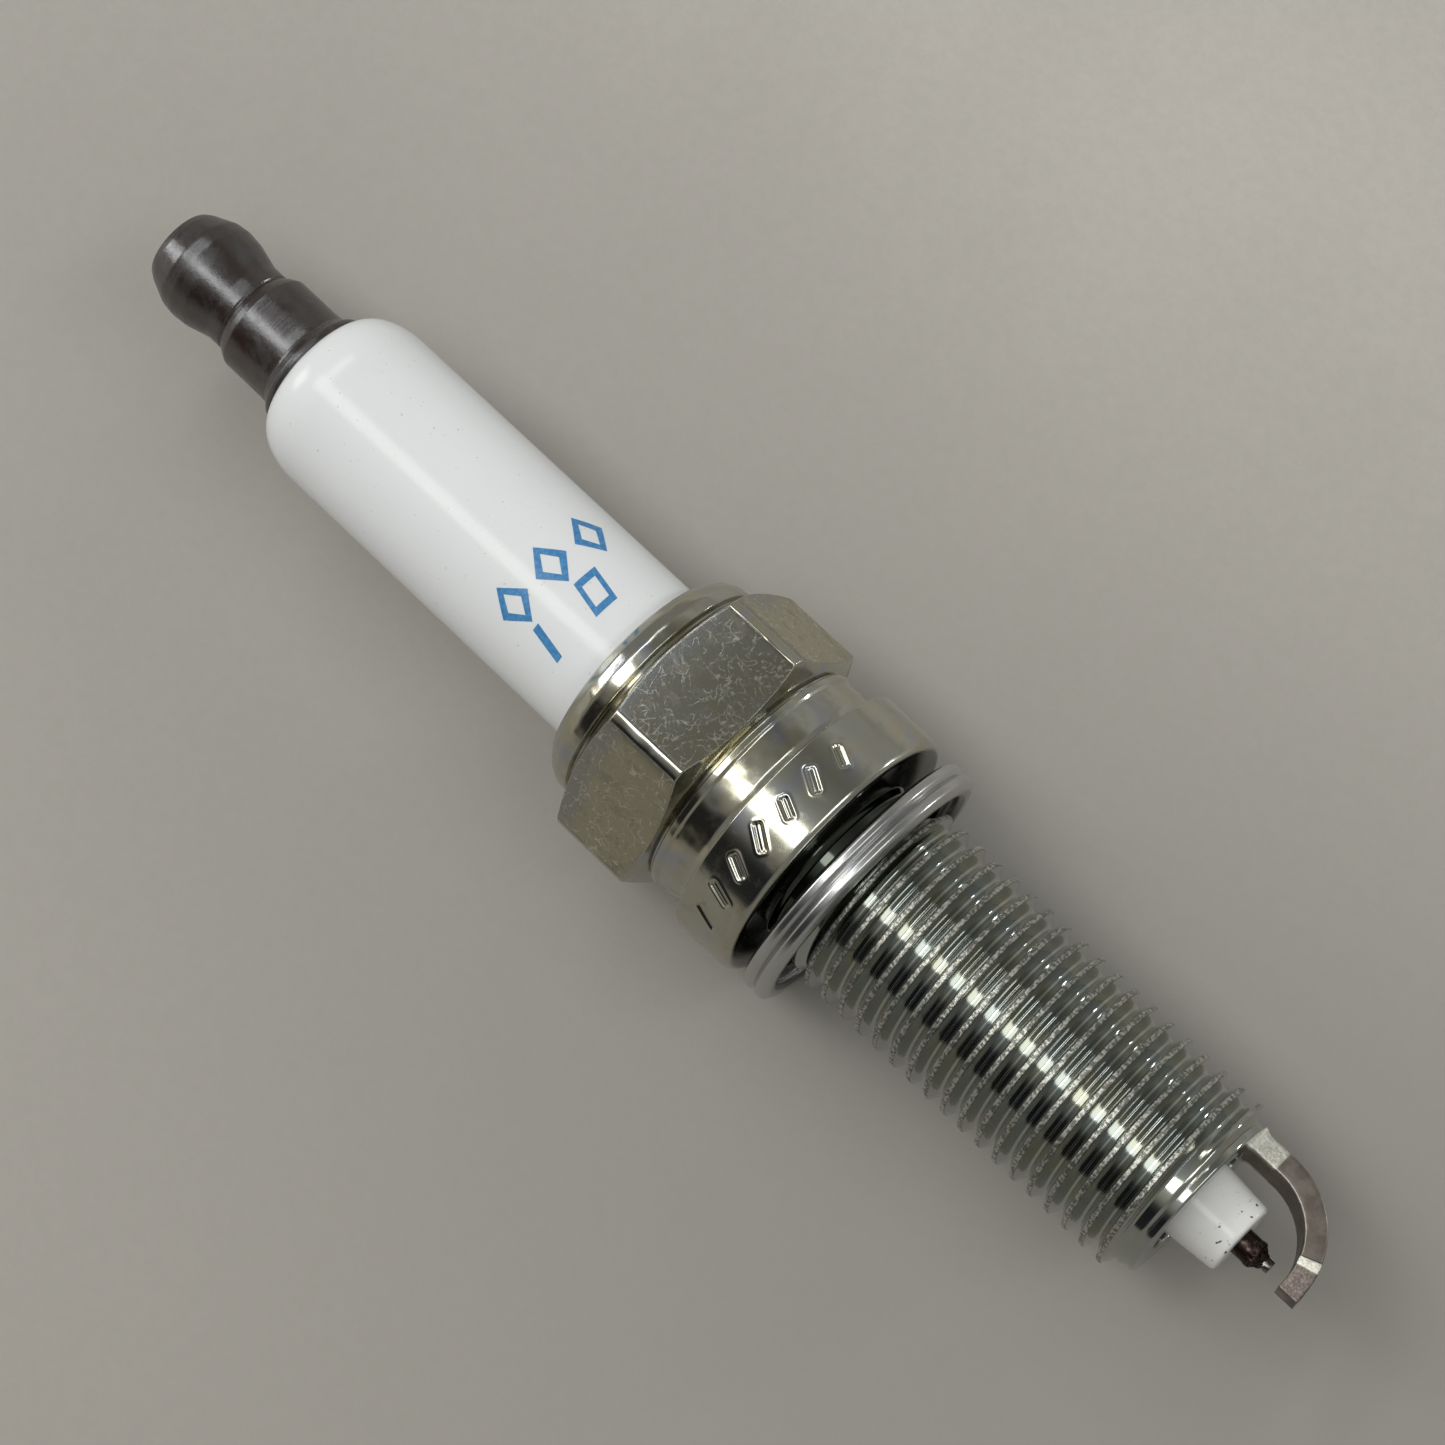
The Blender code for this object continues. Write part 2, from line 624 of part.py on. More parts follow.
def main():
    clear_scene()
    plug = new_collection("spark_plug")
    cutters = new_collection("cutters")
    axis = bpy.data.objects.new("plug_axis", None)
    plug.objects.link(axis)
    axis.rotation_euler = (0.0, math.radians(90.0), 0.0)

    metal_shell(plug, cutters, axis)
    insulator(plug, axis)
    terminal_stud(plug, axis)
    bore_filling("upper_glass_seal", UPPER_SEAL_END_Z, STUD_END_Z + FIT_GAP, "glass_seal", plug, axis)
    bore_filling("resistor", RESISTOR_END_Z, UPPER_SEAL_END_Z + FIT_GAP, "resistor_body", plug, axis)
    bore_filling("lower_glass_seal", ELECTRODE_HEAD_Z - FIT_GAP, RESISTOR_END_Z + FIT_GAP,
                 "glass_seal", plug, axis)
    center_electrode(plug, axis)
    copper_core(plug, axis)
    iridium_tip(plug, axis)
    packing_ring("upper_packing_ring", UPPER_PACKING_Z, plug, axis)
    talc_packing(plug, axis)
    packing_ring("lower_packing_ring", LOWER_PACKING_Z, plug, axis)
    seat_packing_washer(plug, axis)
    ring_gasket(plug)
    ground_electrode(plug, cutters)


main()
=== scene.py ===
"""The looks of the spark plug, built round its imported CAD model.

The plug lies along X with its firing end at +X, and +Z is up.  Lengths in this file are in
millimetres unless a name says otherwise, and MM turns them into Blender's metres.  Round
surfaces are given by (x, r) points: x along the plug's axis and r out from it.
"""
import json
import math

import bmesh
import bpy
import numpy as np
from mathutils import Matrix, Vector, noise


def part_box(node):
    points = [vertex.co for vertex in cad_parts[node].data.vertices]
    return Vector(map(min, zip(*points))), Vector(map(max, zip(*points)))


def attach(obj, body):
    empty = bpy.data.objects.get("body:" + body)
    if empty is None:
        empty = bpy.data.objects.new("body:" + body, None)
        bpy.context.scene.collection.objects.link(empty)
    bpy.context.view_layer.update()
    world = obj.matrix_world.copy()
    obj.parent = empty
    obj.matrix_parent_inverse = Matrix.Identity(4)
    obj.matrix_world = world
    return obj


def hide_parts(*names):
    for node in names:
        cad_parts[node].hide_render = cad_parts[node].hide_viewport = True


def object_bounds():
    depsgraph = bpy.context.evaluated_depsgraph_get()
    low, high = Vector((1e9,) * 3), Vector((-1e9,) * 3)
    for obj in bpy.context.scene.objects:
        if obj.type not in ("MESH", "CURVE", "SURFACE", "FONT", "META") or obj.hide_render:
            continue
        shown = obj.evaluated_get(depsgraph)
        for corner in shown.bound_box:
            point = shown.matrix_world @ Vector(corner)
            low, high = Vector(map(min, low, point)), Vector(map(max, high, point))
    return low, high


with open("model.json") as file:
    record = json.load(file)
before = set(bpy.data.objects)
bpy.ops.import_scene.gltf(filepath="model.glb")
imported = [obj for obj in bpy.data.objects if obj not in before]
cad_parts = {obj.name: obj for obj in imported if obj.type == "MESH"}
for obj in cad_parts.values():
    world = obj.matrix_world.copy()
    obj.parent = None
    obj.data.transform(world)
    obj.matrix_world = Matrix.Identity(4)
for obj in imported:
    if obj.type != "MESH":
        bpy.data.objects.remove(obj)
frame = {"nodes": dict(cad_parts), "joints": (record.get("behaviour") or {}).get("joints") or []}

CAD_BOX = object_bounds()
MM = 0.001


def box_mm(node):
    low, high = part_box(node)
    return low / MM, high / MM


SHELL_LOW, SHELL_HIGH = box_mm("metal_shell")
INSULATOR_LOW, INSULATOR_HIGH = box_mm("insulator")
TERMINAL_END = box_mm("terminal_stud")[0].x
ELECTRODE_END = box_mm("center_electrode")[1].x
TIP_LOW, TIP_HIGH = box_mm("iridium_tip")
STRAP_END_Y = box_mm("ground_electrode")[0].y
GASKET_JOINT = frame["joints"][0]

# Shell
SHELL_END = SHELL_HIGH.x
SEAT_R = SHELL_HIGH.z
HEX_CORNER_R = SHELL_HIGH.y
HEX_EDGE_R = HEX_CORNER_R + 0.05
HEX_FLAT_R = 7.97
HEX_TURN = math.radians(1.0)      # of the hexagon round the axis
HEX_HIGH = -6.7
HEX_LOW = -12.95
HEX_CHAMFER = 0.69
NECK_R = 7.43
COLLAR_BACK = -3.9
CRIMP_R = 7.36
CRIMP_END = SHELL_LOW.x
HEAD_BORE_R = 6.5
SHELL_BORE_R = 4.2
LEDGE_START = 12.0             # where the bore narrows to hold the insulator
LEDGE_END = 12.7
NOSE_BORE_R = 3.4
PILOT_R = 5.1
UNDERCUT_R = 5.0
SPIGOT_R = UNDERCUT_R + 0.3    # of the barrel where it runs on inside the collar
SPIGOT_END = -0.5

# Thread
THREAD_R = 5.92
THREAD_DEPTH = 0.68
THREAD_CREST_HALF = 0.12
THREAD_CREST_ROUNDING = 0.03
THREAD_ROOT_ROUNDING = 0.17
THREAD_PITCH = 1.25
THREAD_CREST = 2.93            # a crest's place on the +Y side
THREAD_START = 1.2
THREAD_END = 26.05
THREAD_FIRST_CREST = 1.9       # where the crest starts to rise, and where it ends
THREAD_LAST_CREST = 25.5

INSULATOR_R = 5.33
GASKET_R = -GASKET_JOINT["pos_m"][2] / MM
GASKET_LEAN = -math.radians(GASKET_JOINT["range_deg"][0])


# ---- Mesh helpers ----

def fillet(before, corner, after, radius, count):
    """Points that round a corner of an outline with an arc of about that radius."""
    corner = Vector(corner)
    a = Vector(before) - corner
    b = Vector(after) - corner
    reach_a, reach_b = a.length, b.length
    a.normalize()
    b.normalize()
    half = a.angle(b) / 2.0
    trim = min(radius / math.tan(half), reach_a * 0.49, reach_b * 0.49)
    start = corner + a * trim
    end = corner + b * trim
    points = []
    for i in range(count + 1):
        t = i / count
        points.append(tuple((1 - t) ** 2 * start + 2 * t * (1 - t) * corner + t ** 2 * end))
    return points


def rounded(outline, count=4):
    """An outline of (x, r, fillet radius) points as a list of (x, r) points."""
    points = []
    for i, (x, r, radius) in enumerate(outline):
        if radius <= 0 or i == 0 or i == len(outline) - 1:
            points.append((x, r))
            continue
        before = outline[i - 1][:2]
        after = outline[i + 1][:2]
        points += fillet(before, (x, r), after, radius, count)
    return points


def refined(points, step):
    """The same outline with no two points further apart than step."""
    result = [points[0]]
    for (x0, r0), (x1, r1) in zip(points, points[1:]):
        parts = max(1, math.ceil(math.hypot(x1 - x0, r1 - r0) / step))
        result += [(x0 + (x1 - x0) * i / parts, r0 + (r1 - r0) * i / parts)
                   for i in range(1, parts + 1)]
    return result


def add_object(name, data):
    obj = bpy.data.objects.new(name, data)
    bpy.context.scene.collection.objects.link(obj)
    return obj


def mesh_object(name, points_mm, faces, sharp_angle=40.0):
    mesh = bpy.data.meshes.new(name)
    mesh.from_pydata([tuple(p) for p in np.asarray(points_mm) * MM], [], faces)
    mesh.validate()
    bm = bmesh.new()
    bm.from_mesh(mesh)
    bmesh.ops.recalc_face_normals(bm, faces=bm.faces)
    bm.to_mesh(mesh)
    bm.free()
    mesh.shade_smooth()
    mesh.set_sharp_from_angle(angle=math.radians(sharp_angle))
    return add_object(name, mesh)


def store(obj, name, values):
    """Keep a number for each point of a mesh, which a material reads by that name."""
    layer = obj.data.attributes.new(name, "FLOAT", "POINT")
    layer.data.foreach_set("value", np.asarray(values, np.float32))


def ring_points(x, r, angles):
    """A ring of points: x and r are numbers or arrays as long as angles."""
    return np.stack([x + 0 * angles, r * np.cos(angles), r * np.sin(angles)], axis=-1)


def bridge(a, b, count):
    """The faces between two rings of points that start at a and at b."""
    return [(a + i, a + (i + 1) % count, b + (i + 1) % count, b + i) for i in range(count)]


def turned(name, profile_at, steps, closed, shape=None):
    """A surface turned about the plug's axis.

    profile_at is one list of (x, r) points, or a function that gives the list for an angle.  The
    angle is 0 at +Y and grows towards +Z.  A closed profile makes a ring.  Any other profile
    starts and ends on the axis.  shape, if given, moves the points: shape(x, r, angle) -> (x, r).
    """
    angles = np.arange(steps) * math.tau / steps
    if callable(profile_at):
        table = np.array([profile_at(a) for a in angles])
    else:
        table = np.repeat(np.array(profile_at)[None, :, :], steps, axis=0)
    x, r = table[:, :, 0], table[:, :, 1]
    if shape:
        x, r = shape(x, r, angles[:, None])
    count = x.shape[1]
    first = 0 if closed else 1
    last = count if closed else count - 1
    points = ring_points(x, r, angles[:, None])[:, first:last].transpose(1, 0, 2).reshape(-1, 3)
    rings = last - first
    faces = []
    for k in range(rings if closed else rings - 1):
        faces += bridge(k * steps, (k + 1) % rings * steps, steps)
    if not closed:
        start, end = len(points), len(points) + 1
        points = np.vstack([points, [x[0, 0], 0, 0], [x[0, -1], 0, 0]])
        tail = (rings - 1) * steps
        for i in range(steps):
            n = (i + 1) % steps
            faces.append((start, n, i))
            faces.append((end, tail + i, tail + n))
    return mesh_object(name, points, faces)


def smooth_min(a, b, k):
    """The lower of two values, blended where they differ by less than k."""
    h = np.clip(0.5 + 0.5 * (b - a) / k, 0, 1)
    return b * (1 - h) + a * h - k * h * (1 - h)


def smooth_step(value, low, high):
    t = np.clip((value - low) / (high - low), 0, 1)
    return t * t * (3 - 2 * t)


# ---- Shell ----

def hex_radius(angle):
    """Distance from the axis to the hexagon's surface: six flats and narrow turned corners."""
    from_flat = (angle - math.pi / 2 - HEX_TURN) % (math.pi / 3)
    from_flat = min(from_flat, math.pi / 3 - from_flat)
    return float(smooth_min(HEX_FLAT_R / math.cos(from_flat), HEX_EDGE_R, 0.12))


def head_profile(angle):
    """Crimp, hexagon and neck at one angle, and back through the bore."""
    side_r = hex_radius(angle)
    cone = HEX_CHAMFER / (HEX_CORNER_R - NECK_R)
    high_edge = HEX_HIGH - (side_r - NECK_R) * cone
    low_edge = HEX_LOW + (side_r - NECK_R) * cone
    outline = [
        (COLLAR_BACK + 0.05, HEAD_BORE_R, 0),
        (COLLAR_BACK + 0.05, NECK_R + 0.3, 0),
        (COLLAR_BACK - 0.1, NECK_R + 0.1, 0.15),
        (COLLAR_BACK - 0.55, NECK_R - 0.07, 0.6),
        (COLLAR_BACK - 1.3, NECK_R + 0.05, 1.2),
        (HEX_HIGH + 0.75, NECK_R + 0.02, 0.3),
        (HEX_HIGH + 0.55, NECK_R + 0.16, 0.12),
        (HEX_HIGH + 0.18, NECK_R + 0.16, 0.12),
        (HEX_HIGH + 0.1, NECK_R - 0.12, 0.05),
        (HEX_HIGH, NECK_R - 0.06, 0.03),
        (high_edge, side_r, 0.16),
        (low_edge, side_r, 0.16),
        (HEX_LOW, NECK_R + 0.1, 0.1),
        (HEX_LOW - 0.05, CRIMP_R - 0.36, 0.08),
        (HEX_LOW - 0.28, CRIMP_R - 0.3, 0.1),
        (HEX_LOW - 0.42, CRIMP_R - 0.02, 0.2),
        (CRIMP_END + 1.35, CRIMP_R - 0.05, 0.9),
        (CRIMP_END + 0.7, CRIMP_R - 0.4, 0.7),
        (CRIMP_END + 0.2, CRIMP_R - 0.95, 0.6),
        (CRIMP_END, CRIMP_R - 1.55, 0.3),
        (CRIMP_END + 0.05, INSULATOR_R + 0.12, 0.15),
        (CRIMP_END + 0.35, INSULATOR_R + 0.05, 0.1),
        (CRIMP_END + 0.6, INSULATOR_R + 0.3, 0.1),
        (CRIMP_END + 1.45, HEAD_BORE_R, 0.1),
        (COLLAR_BACK + 0.05, HEAD_BORE_R, 0),
    ]
    return rounded(outline)[:-1]


def collar_profile():
    """The seat collar, from the neck to the seat face at x = 0."""
    back_bore_r = SHELL_BORE_R + 1.5
    seat_bore_r = UNDERCUT_R - 0.2
    outline = [
        (COLLAR_BACK, back_bore_r, 0),
        (COLLAR_BACK, SEAT_R, 0.18),
        (0.0, SEAT_R, 0.65),
        (0.0, seat_bore_r, 0),
        (-0.8, seat_bore_r, 0),
        (COLLAR_BACK, back_bore_r, 0),
    ]
    return refined(rounded(outline, 8), 0.06)[:-1]


# Stamped dimples: length as a share of the usual one, extra slant in degrees, shift along x
MARK_SHAPES = [(1.0, 0.0, 0.0), (1.08, 3.0, -0.03), (0.9, -2.0, 0.02), (1.2, 9.0, 0.0),
               (1.05, 2.0, 0.05), (1.15, -5.0, 0.12), (1.25, 4.0, 0.1)]
MARK_FIRST = math.radians(75.4)       # the row's first mark, from +Y towards +Z
MARK_SPACING = math.radians(14.2)
MARK_X = -2.15
MARK_HALF_LENGTH = 0.55
MARK_HALF_WIDTH = 0.13
MARK_STROKE_GAP = 0.24
MARK_SLANT = math.radians(27.0)
MARK_DEPTH = 0.1


def stamped(x, r, angle):
    """Sink the row of plain slanted dimples into the collar's rim."""
    depth = np.zeros_like(x)
    for i, (longer, turn, shift) in enumerate(MARK_SHAPES):
        slant = MARK_SLANT + math.radians(turn)
        along = x - MARK_X - shift
        across = (angle - MARK_FIRST - i * MARK_SPACING) * SEAT_R
        u = along * math.cos(slant) + across * math.sin(slant)
        v = across * math.cos(slant) - along * math.sin(slant)
        beyond = np.maximum(np.abs(u) - MARK_HALF_LENGTH * longer, 0)
        for side in (-1, 1):
            distance = np.hypot(beyond, v - side * MARK_STROKE_GAP / 2)
            depth += 1 - smooth_step(distance, 0.0, MARK_HALF_WIDTH * 1.5)
        rim = np.hypot(beyond, np.maximum(np.abs(v) - MARK_STROKE_GAP / 2, 0))
        depth -= 0.3 * np.exp(-((rim - MARK_HALF_WIDTH * 1.9) / 0.08) ** 2)
    on_rim = smooth_step(r, SEAT_R - 0.15, SEAT_R - 0.02)
    return x, r - MARK_DEPTH * depth * on_rim


def thread_surface(x, angle):
    """Radius, share of the full height and phase of the thread at places round the barrel."""
    from_crest = x - THREAD_CREST - THREAD_PITCH * angle / math.tau
    distance = (from_crest + THREAD_PITCH / 2) % THREAD_PITCH - THREAD_PITCH / 2
    slope = math.tan(math.radians(30.0))
    raw = THREAD_DEPTH - (np.abs(distance) - THREAD_CREST_HALF) / slope
    height = -smooth_min(-raw, 0.0, THREAD_ROOT_ROUNDING)
    height = smooth_min(height, THREAD_DEPTH, THREAD_CREST_ROUNDING)
    ridge_x = x - distance
    rise = np.sin(smooth_step(ridge_x, THREAD_FIRST_CREST, THREAD_CREST) * math.pi / 2)
    height = height * rise * (1 - smooth_step(ridge_x, THREAD_LAST_CREST, THREAD_LAST_CREST + 0.3))
    root = THREAD_R - THREAD_DEPTH
    r = root + height
    r = r - (root - UNDERCUT_R) * (1 - smooth_step(x, THREAD_START, THREAD_START + 0.9))
    r = r - (root - PILOT_R) * smooth_step(x, THREAD_END - 0.4, THREAD_END)
    return r, height / THREAD_DEPTH, math.tau * distance / THREAD_PITCH


def threaded_barrel():
    """The barrel from the seat to the shell's end: its rows follow the thread's helix."""
    steps = 160
    last = steps - 1
    per_pitch = 32     # rows
    joining = 12       # steps between a flat ring and a row that follows the helix
    angles = np.arange(steps) * math.tau / steps
    helix = THREAD_PITCH * angles / math.tau
    rows = int((THREAD_END - THREAD_START) / THREAD_PITCH * per_pitch) - per_pitch
    start_x = THREAD_START - 0.02
    end_x = THREAD_END + 0.02
    first_row = THREAD_START + helix
    last_row = THREAD_START + THREAD_PITCH * rows / per_pitch + helix
    places = [start_x + (first_row - start_x) * j / joining for j in range(1, joining)]
    places += [THREAD_START + THREAD_PITCH * k / per_pitch + helix for k in range(rows + 1)]
    places += [last_row + (end_x - last_row) * j / joining for j in range(1, joining)]
    points = []
    crest = []
    phases = []
    for x in places:
        r, share, turn = thread_surface(x, angles)
        points.append(ring_points(x, r, angles))
        crest.append(share)
        phases.append(np.stack([np.cos(turn), np.sin(turn), 0 * turn], axis=-1))
    outline = [
        (end_x, PILOT_R, 0),
        (SHELL_END, PILOT_R, 0.4),
        (SHELL_END, NOSE_BORE_R, 0.12),
        (LEDGE_END, NOSE_BORE_R, 0),
        (LEDGE_START, SHELL_BORE_R, 0),
        (SPIGOT_END, SHELL_BORE_R, 0),
        (SPIGOT_END, SPIGOT_R, 0),
        (0.05, SPIGOT_R, 0.05),
        (0.35, UNDERCUT_R, 0.3),
        (start_x, UNDERCUT_R, 0),
    ]
    rest = refined(rounded(outline, 6), 1.5)
    for x, r in rest:
        points.append(ring_points(np.full(steps, x), r, angles))
        crest.append(np.zeros(steps))
        phases.append(np.tile([-1.0, 0.0, 0.0], (steps, 1)))
    helix_start = joining - 1
    helix_end = helix_start + rows
    end_ring = len(places)
    start_ring = len(places) + len(rest) - 1
    faces = []

    def at(k, i):
        return k * steps + i

    for k in range(end_ring):
        for i in range(last):
            faces.append((at(k, i), at(k, i + 1), at(k + 1, i + 1), at(k + 1, i)))
    for i in range(last):
        faces.append((at(start_ring, i), at(start_ring, i + 1), at(0, i + 1), at(0, i)))
    # A turn of the helix moves on by one pitch, so its seam joins each row to the one a pitch on.
    for k in range(helix_start, helix_end - per_pitch):
        ahead = k + per_pitch
        faces.append((at(k, last), at(ahead, 0), at(ahead + 1, 0), at(k + 1, last)))
    # The seam leaves a slit open at either end of the thread.  One many-sided face closes each.
    faces.append([at(start_ring, last), at(start_ring, 0)]
                 + [at(k, 0) for k in range(helix_start + per_pitch + 1)]
                 + [at(k, last) for k in range(helix_start, -1, -1)])
    faces.append([at(end_ring, last), at(end_ring, 0)]
                 + [at(k, 0) for k in range(end_ring - 1, helix_end - 1, -1)]
                 + [at(k, last) for k in range(helix_end - per_pitch, end_ring)])
    for k in range(end_ring, start_ring):
        faces += bridge(k * steps, (k + 1) * steps, steps)
    obj = mesh_object("shell_thread", np.vstack(points), faces)
    store(obj, "crest", np.concatenate(crest))
    phase = obj.data.attributes.new("phase", "FLOAT_VECTOR", "POINT")
    phase.data.foreach_set("vector", np.concatenate(phases).ravel().astype(np.float32))
    return obj


# ---- Gasket ----

GASKET_THICKNESS = 1.76
GASKET_BORE_R = 6.1
BEAD_INNER_R = 7.0


def ring_gasket():
    """Sheet folded into two beads that meet at an outer seam, with a thin web inside them."""
    half = GASKET_THICKNESS / 2
    side = [
        (0.25, GASKET_BORE_R, 0.06),
        (0.25, BEAD_INNER_R - 0.12, 0.1),
        (0.34, BEAD_INNER_R, 0.1),
        (half * 0.75, BEAD_INNER_R + 0.02, 0.2),
        (half, BEAD_INNER_R + 0.3, 0.2),
        (half + 0.02, GASKET_R - 0.5, 0.35),
        (half - 0.22, GASKET_R - 0.03, 0.3),
        (half * 0.32, GASKET_R, 0.2),
        (0.05, GASKET_R - 0.2, 0.06),
    ]
    outline = side + [(0.0, GASKET_R - 0.26, 0)] + [(-x, r, f) for x, r, f in side[::-1]]
    points = rounded([outline[-1]] + outline + [outline[0]])[1:-1]
    ring = turned("folded_gasket", refined(points, 0.05), steps=360, closed=True)
    hinge = Vector(GASKET_JOINT["pos_m"])
    place = Matrix.Translation(hinge) @ Matrix.Rotation(GASKET_LEAN, 4, "Y")
    place = place @ Matrix.Translation((GASKET_THICKNESS / 2 * MM, 0, GASKET_R * MM))
    ring.data.transform(place)
    return ring


# ---- Insulator and terminal ----

INSULATOR_TOP = INSULATOR_LOW.x
INSULATOR_TIP = INSULATOR_HIGH.x
SHOULDER_LENGTH = 3.2
SHOULDER_R = 3.4               # where the shoulder meets the terminal
STUD_BORE_R = 1.95
STEM_BORE_R = 1.1
NOSE_TIP_BORE_R = 0.84


def insulator_profile():
    """The glazed barrel, the hidden flange and stem in the shell, and the tapered nose."""
    outline = [
        (INSULATOR_TIP, NOSE_TIP_BORE_R, 0),
        (INSULATOR_TIP, 2.15, 0.3),
        (26.5, 2.4, 0),
        (11.9, 2.95, 0),
        (11.0, 3.9, 0),
        (-3.1, 3.9, 0),
        (-5.0, 6.1, 0),
        (-9.4, 6.15, 0),
        (-10.0, INSULATOR_R, 0),
    ]
    points = rounded(outline)
    steps = 24
    for i in range(steps + 1):
        angle = math.pi / 2 * i / steps
        points.append((INSULATOR_TOP + SHOULDER_LENGTH - SHOULDER_LENGTH * math.sin(angle),
                       SHOULDER_R + (INSULATOR_R - SHOULDER_R) * math.cos(angle) ** 0.9))
    points += [(INSULATOR_TOP, STUD_BORE_R), (7.0, STUD_BORE_R), (7.9, STEM_BORE_R),
               (26.0, STEM_BORE_R), (28.5, NOSE_TIP_BORE_R)]
    return refined(points, 0.5)


def insulator():
    return turned("glazed_insulator", insulator_profile(), steps=256, closed=True)


PRINT_RAISED = 0.008
PRINT_SUNK = 0.03
VIEW_ANGLE = math.radians(105.2)      # straight towards the camera, from +Y towards +Z


def print_slab(corners, points, faces):
    """Add one flat stroke of print, wrapped on the barrel.  Corners are (x, distance round)."""
    along, across = 10, 3
    a, b, c, d = [np.array(corner, float) for corner in corners]
    start = len(points)
    for r in (INSULATOR_R + PRINT_RAISED, INSULATOR_R - PRINT_SUNK):
        for i in range(along + 1):
            for j in range(across + 1):
                s, t = i / along, j / across
                x, arc = (a * (1 - s) + b * s) * (1 - t) + (d * (1 - s) + c * s) * t
                angle = VIEW_ANGLE + arc / INSULATOR_R
                points.append((x, r * math.cos(angle), r * math.sin(angle)))
    layer = (along + 1) * (across + 1)

    def at(level, i, j):
        return start + level * layer + i * (across + 1) + j

    for i in range(along):
        for j in range(across):
            faces.append((at(0, i, j), at(0, i + 1, j), at(0, i + 1, j + 1), at(0, i, j + 1)))
            faces.append((at(1, i, j), at(1, i, j + 1), at(1, i + 1, j + 1), at(1, i + 1, j)))
        for j in (0, across):
            faces.append((at(0, i, j), at(1, i, j), at(1, i + 1, j), at(0, i + 1, j)))
    for j in range(across):
        for i in (0, along):
            faces.append((at(0, i, j), at(0, i, j + 1), at(1, i, j + 1), at(1, i, j)))


def outlined(corners, stroke, points, faces):
    """Add the outline of a four-sided mark as four strokes that meet at mitred corners."""
    outer = [np.array(corner, float) for corner in corners]
    middle = sum(outer) / 4
    inner = []
    for corner in outer:
        inward = middle - corner
        inner.append(corner + inward * stroke / max(abs(inward)))
    for k in range(4):
        n = (k + 1) % 4
        print_slab((outer[k], outer[n], inner[n], inner[k]), points, faces)


def printed_marks():
    """Plain blue marks in two rows: three diamonds, then a bar and a leaning box."""
    points, faces = [], []
    row_x, half_x, half_arc = -21.45, 1.4, 1.15
    for degrees in (-44, -12, 20):
        arc = math.radians(degrees) * INSULATOR_R
        corners = [(row_x - half_x, arc), (row_x, arc + half_arc),
                   (row_x + half_x, arc), (row_x, arc - half_arc)]
        outlined(corners, 0.55, points, faces)
    low, high, lean = -19.75, -17.55, 0.45
    bar = math.radians(21) * INSULATOR_R
    print_slab([(low, bar - 0.25), (high, bar - 0.25 + lean), (high, bar + 0.25 + lean),
                (low, bar + 0.25)], points, faces)
    box = math.radians(-21) * INSULATOR_R
    corners = [(low, box - 0.8), (high, box - 0.8 + lean),
               (high, box + 0.8 + lean), (low, box + 0.8)]
    outlined(corners, 0.42, points, faces)
    return mesh_object("printed_marks", points, faces)


STUD_HIDDEN_END = -13.0
STUD_R = 1.6


def terminal():
    """The solid terminal: flange, neck, groove, waist and barrel head, and its hidden stud."""
    top = INSULATOR_TOP
    outline = [
        (STUD_HIDDEN_END, 0.0, 0),
        (STUD_HIDDEN_END, STUD_R, 0.1),
        (top - 0.005, STUD_R, 0),
        (top - 0.005, 3.62, 0),
        (top - 0.2, 3.72, 0.15),
        (top - 0.45, 3.66, 0.2),
        (top - 1.0, 3.2, 0.5),
        (top - 1.7, 3.15, 0.5),
        (top - 4.45, 3.15, 0.25),
        (top - 4.85, 2.95, 0.15),
        (top - 5.2, 2.72, 0.12),
        (top - 5.32, 2.6, 0.06),
        (top - 5.45, 2.7, 0.06),
        (top - 6.4, 2.7, 0.9),
        (top - 7.9, 3.1, 1.2),
        (top - 8.9, 3.2, 1.4),
        (top - 9.7, 3.1, 0.9),
        (TERMINAL_END + 0.55, 2.58, 0.4),
        (TERMINAL_END + 0.12, 2.32, 0.15),
        (TERMINAL_END, 1.9, 0.12),
        (TERMINAL_END + 0.03, 0.9, 0.3),
        (TERMINAL_END + 0.03, 0.0, 0),
    ]
    points = refined(rounded(outline, 6), 0.25)
    return turned("terminal_head", points, steps=192, closed=False)


# ---- Electrodes ----

def roughened(obj, amount, size, low_x, high_x, seed):
    """Push points in and out with noise between two places along the plug, fading at both."""
    random_offset = Vector((seed * 7.3, seed * 3.1, seed * 5.7))
    normals = [vertex.normal.copy() for vertex in obj.data.vertices]
    middle = (low_x + high_x) / 2
    for vertex, normal in zip(obj.data.vertices, normals):
        x = vertex.co.x / MM
        if low_x < x < high_x:
            fade = 1 - abs(x - middle) / (high_x - low_x) * 2
            push = noise.fractal(vertex.co / MM / size + random_offset, 0.6, 2.0, 3)
            vertex.co += normal * push * amount * min(1, fade * 3) * MM


ELECTRODE_HEAD = 5.9           # where its wider sealed head starts
ELECTRODE_HEAD_R = 1.5
ELECTRODE_R = 0.8
POINT_R = 0.37                 # of the fine tip


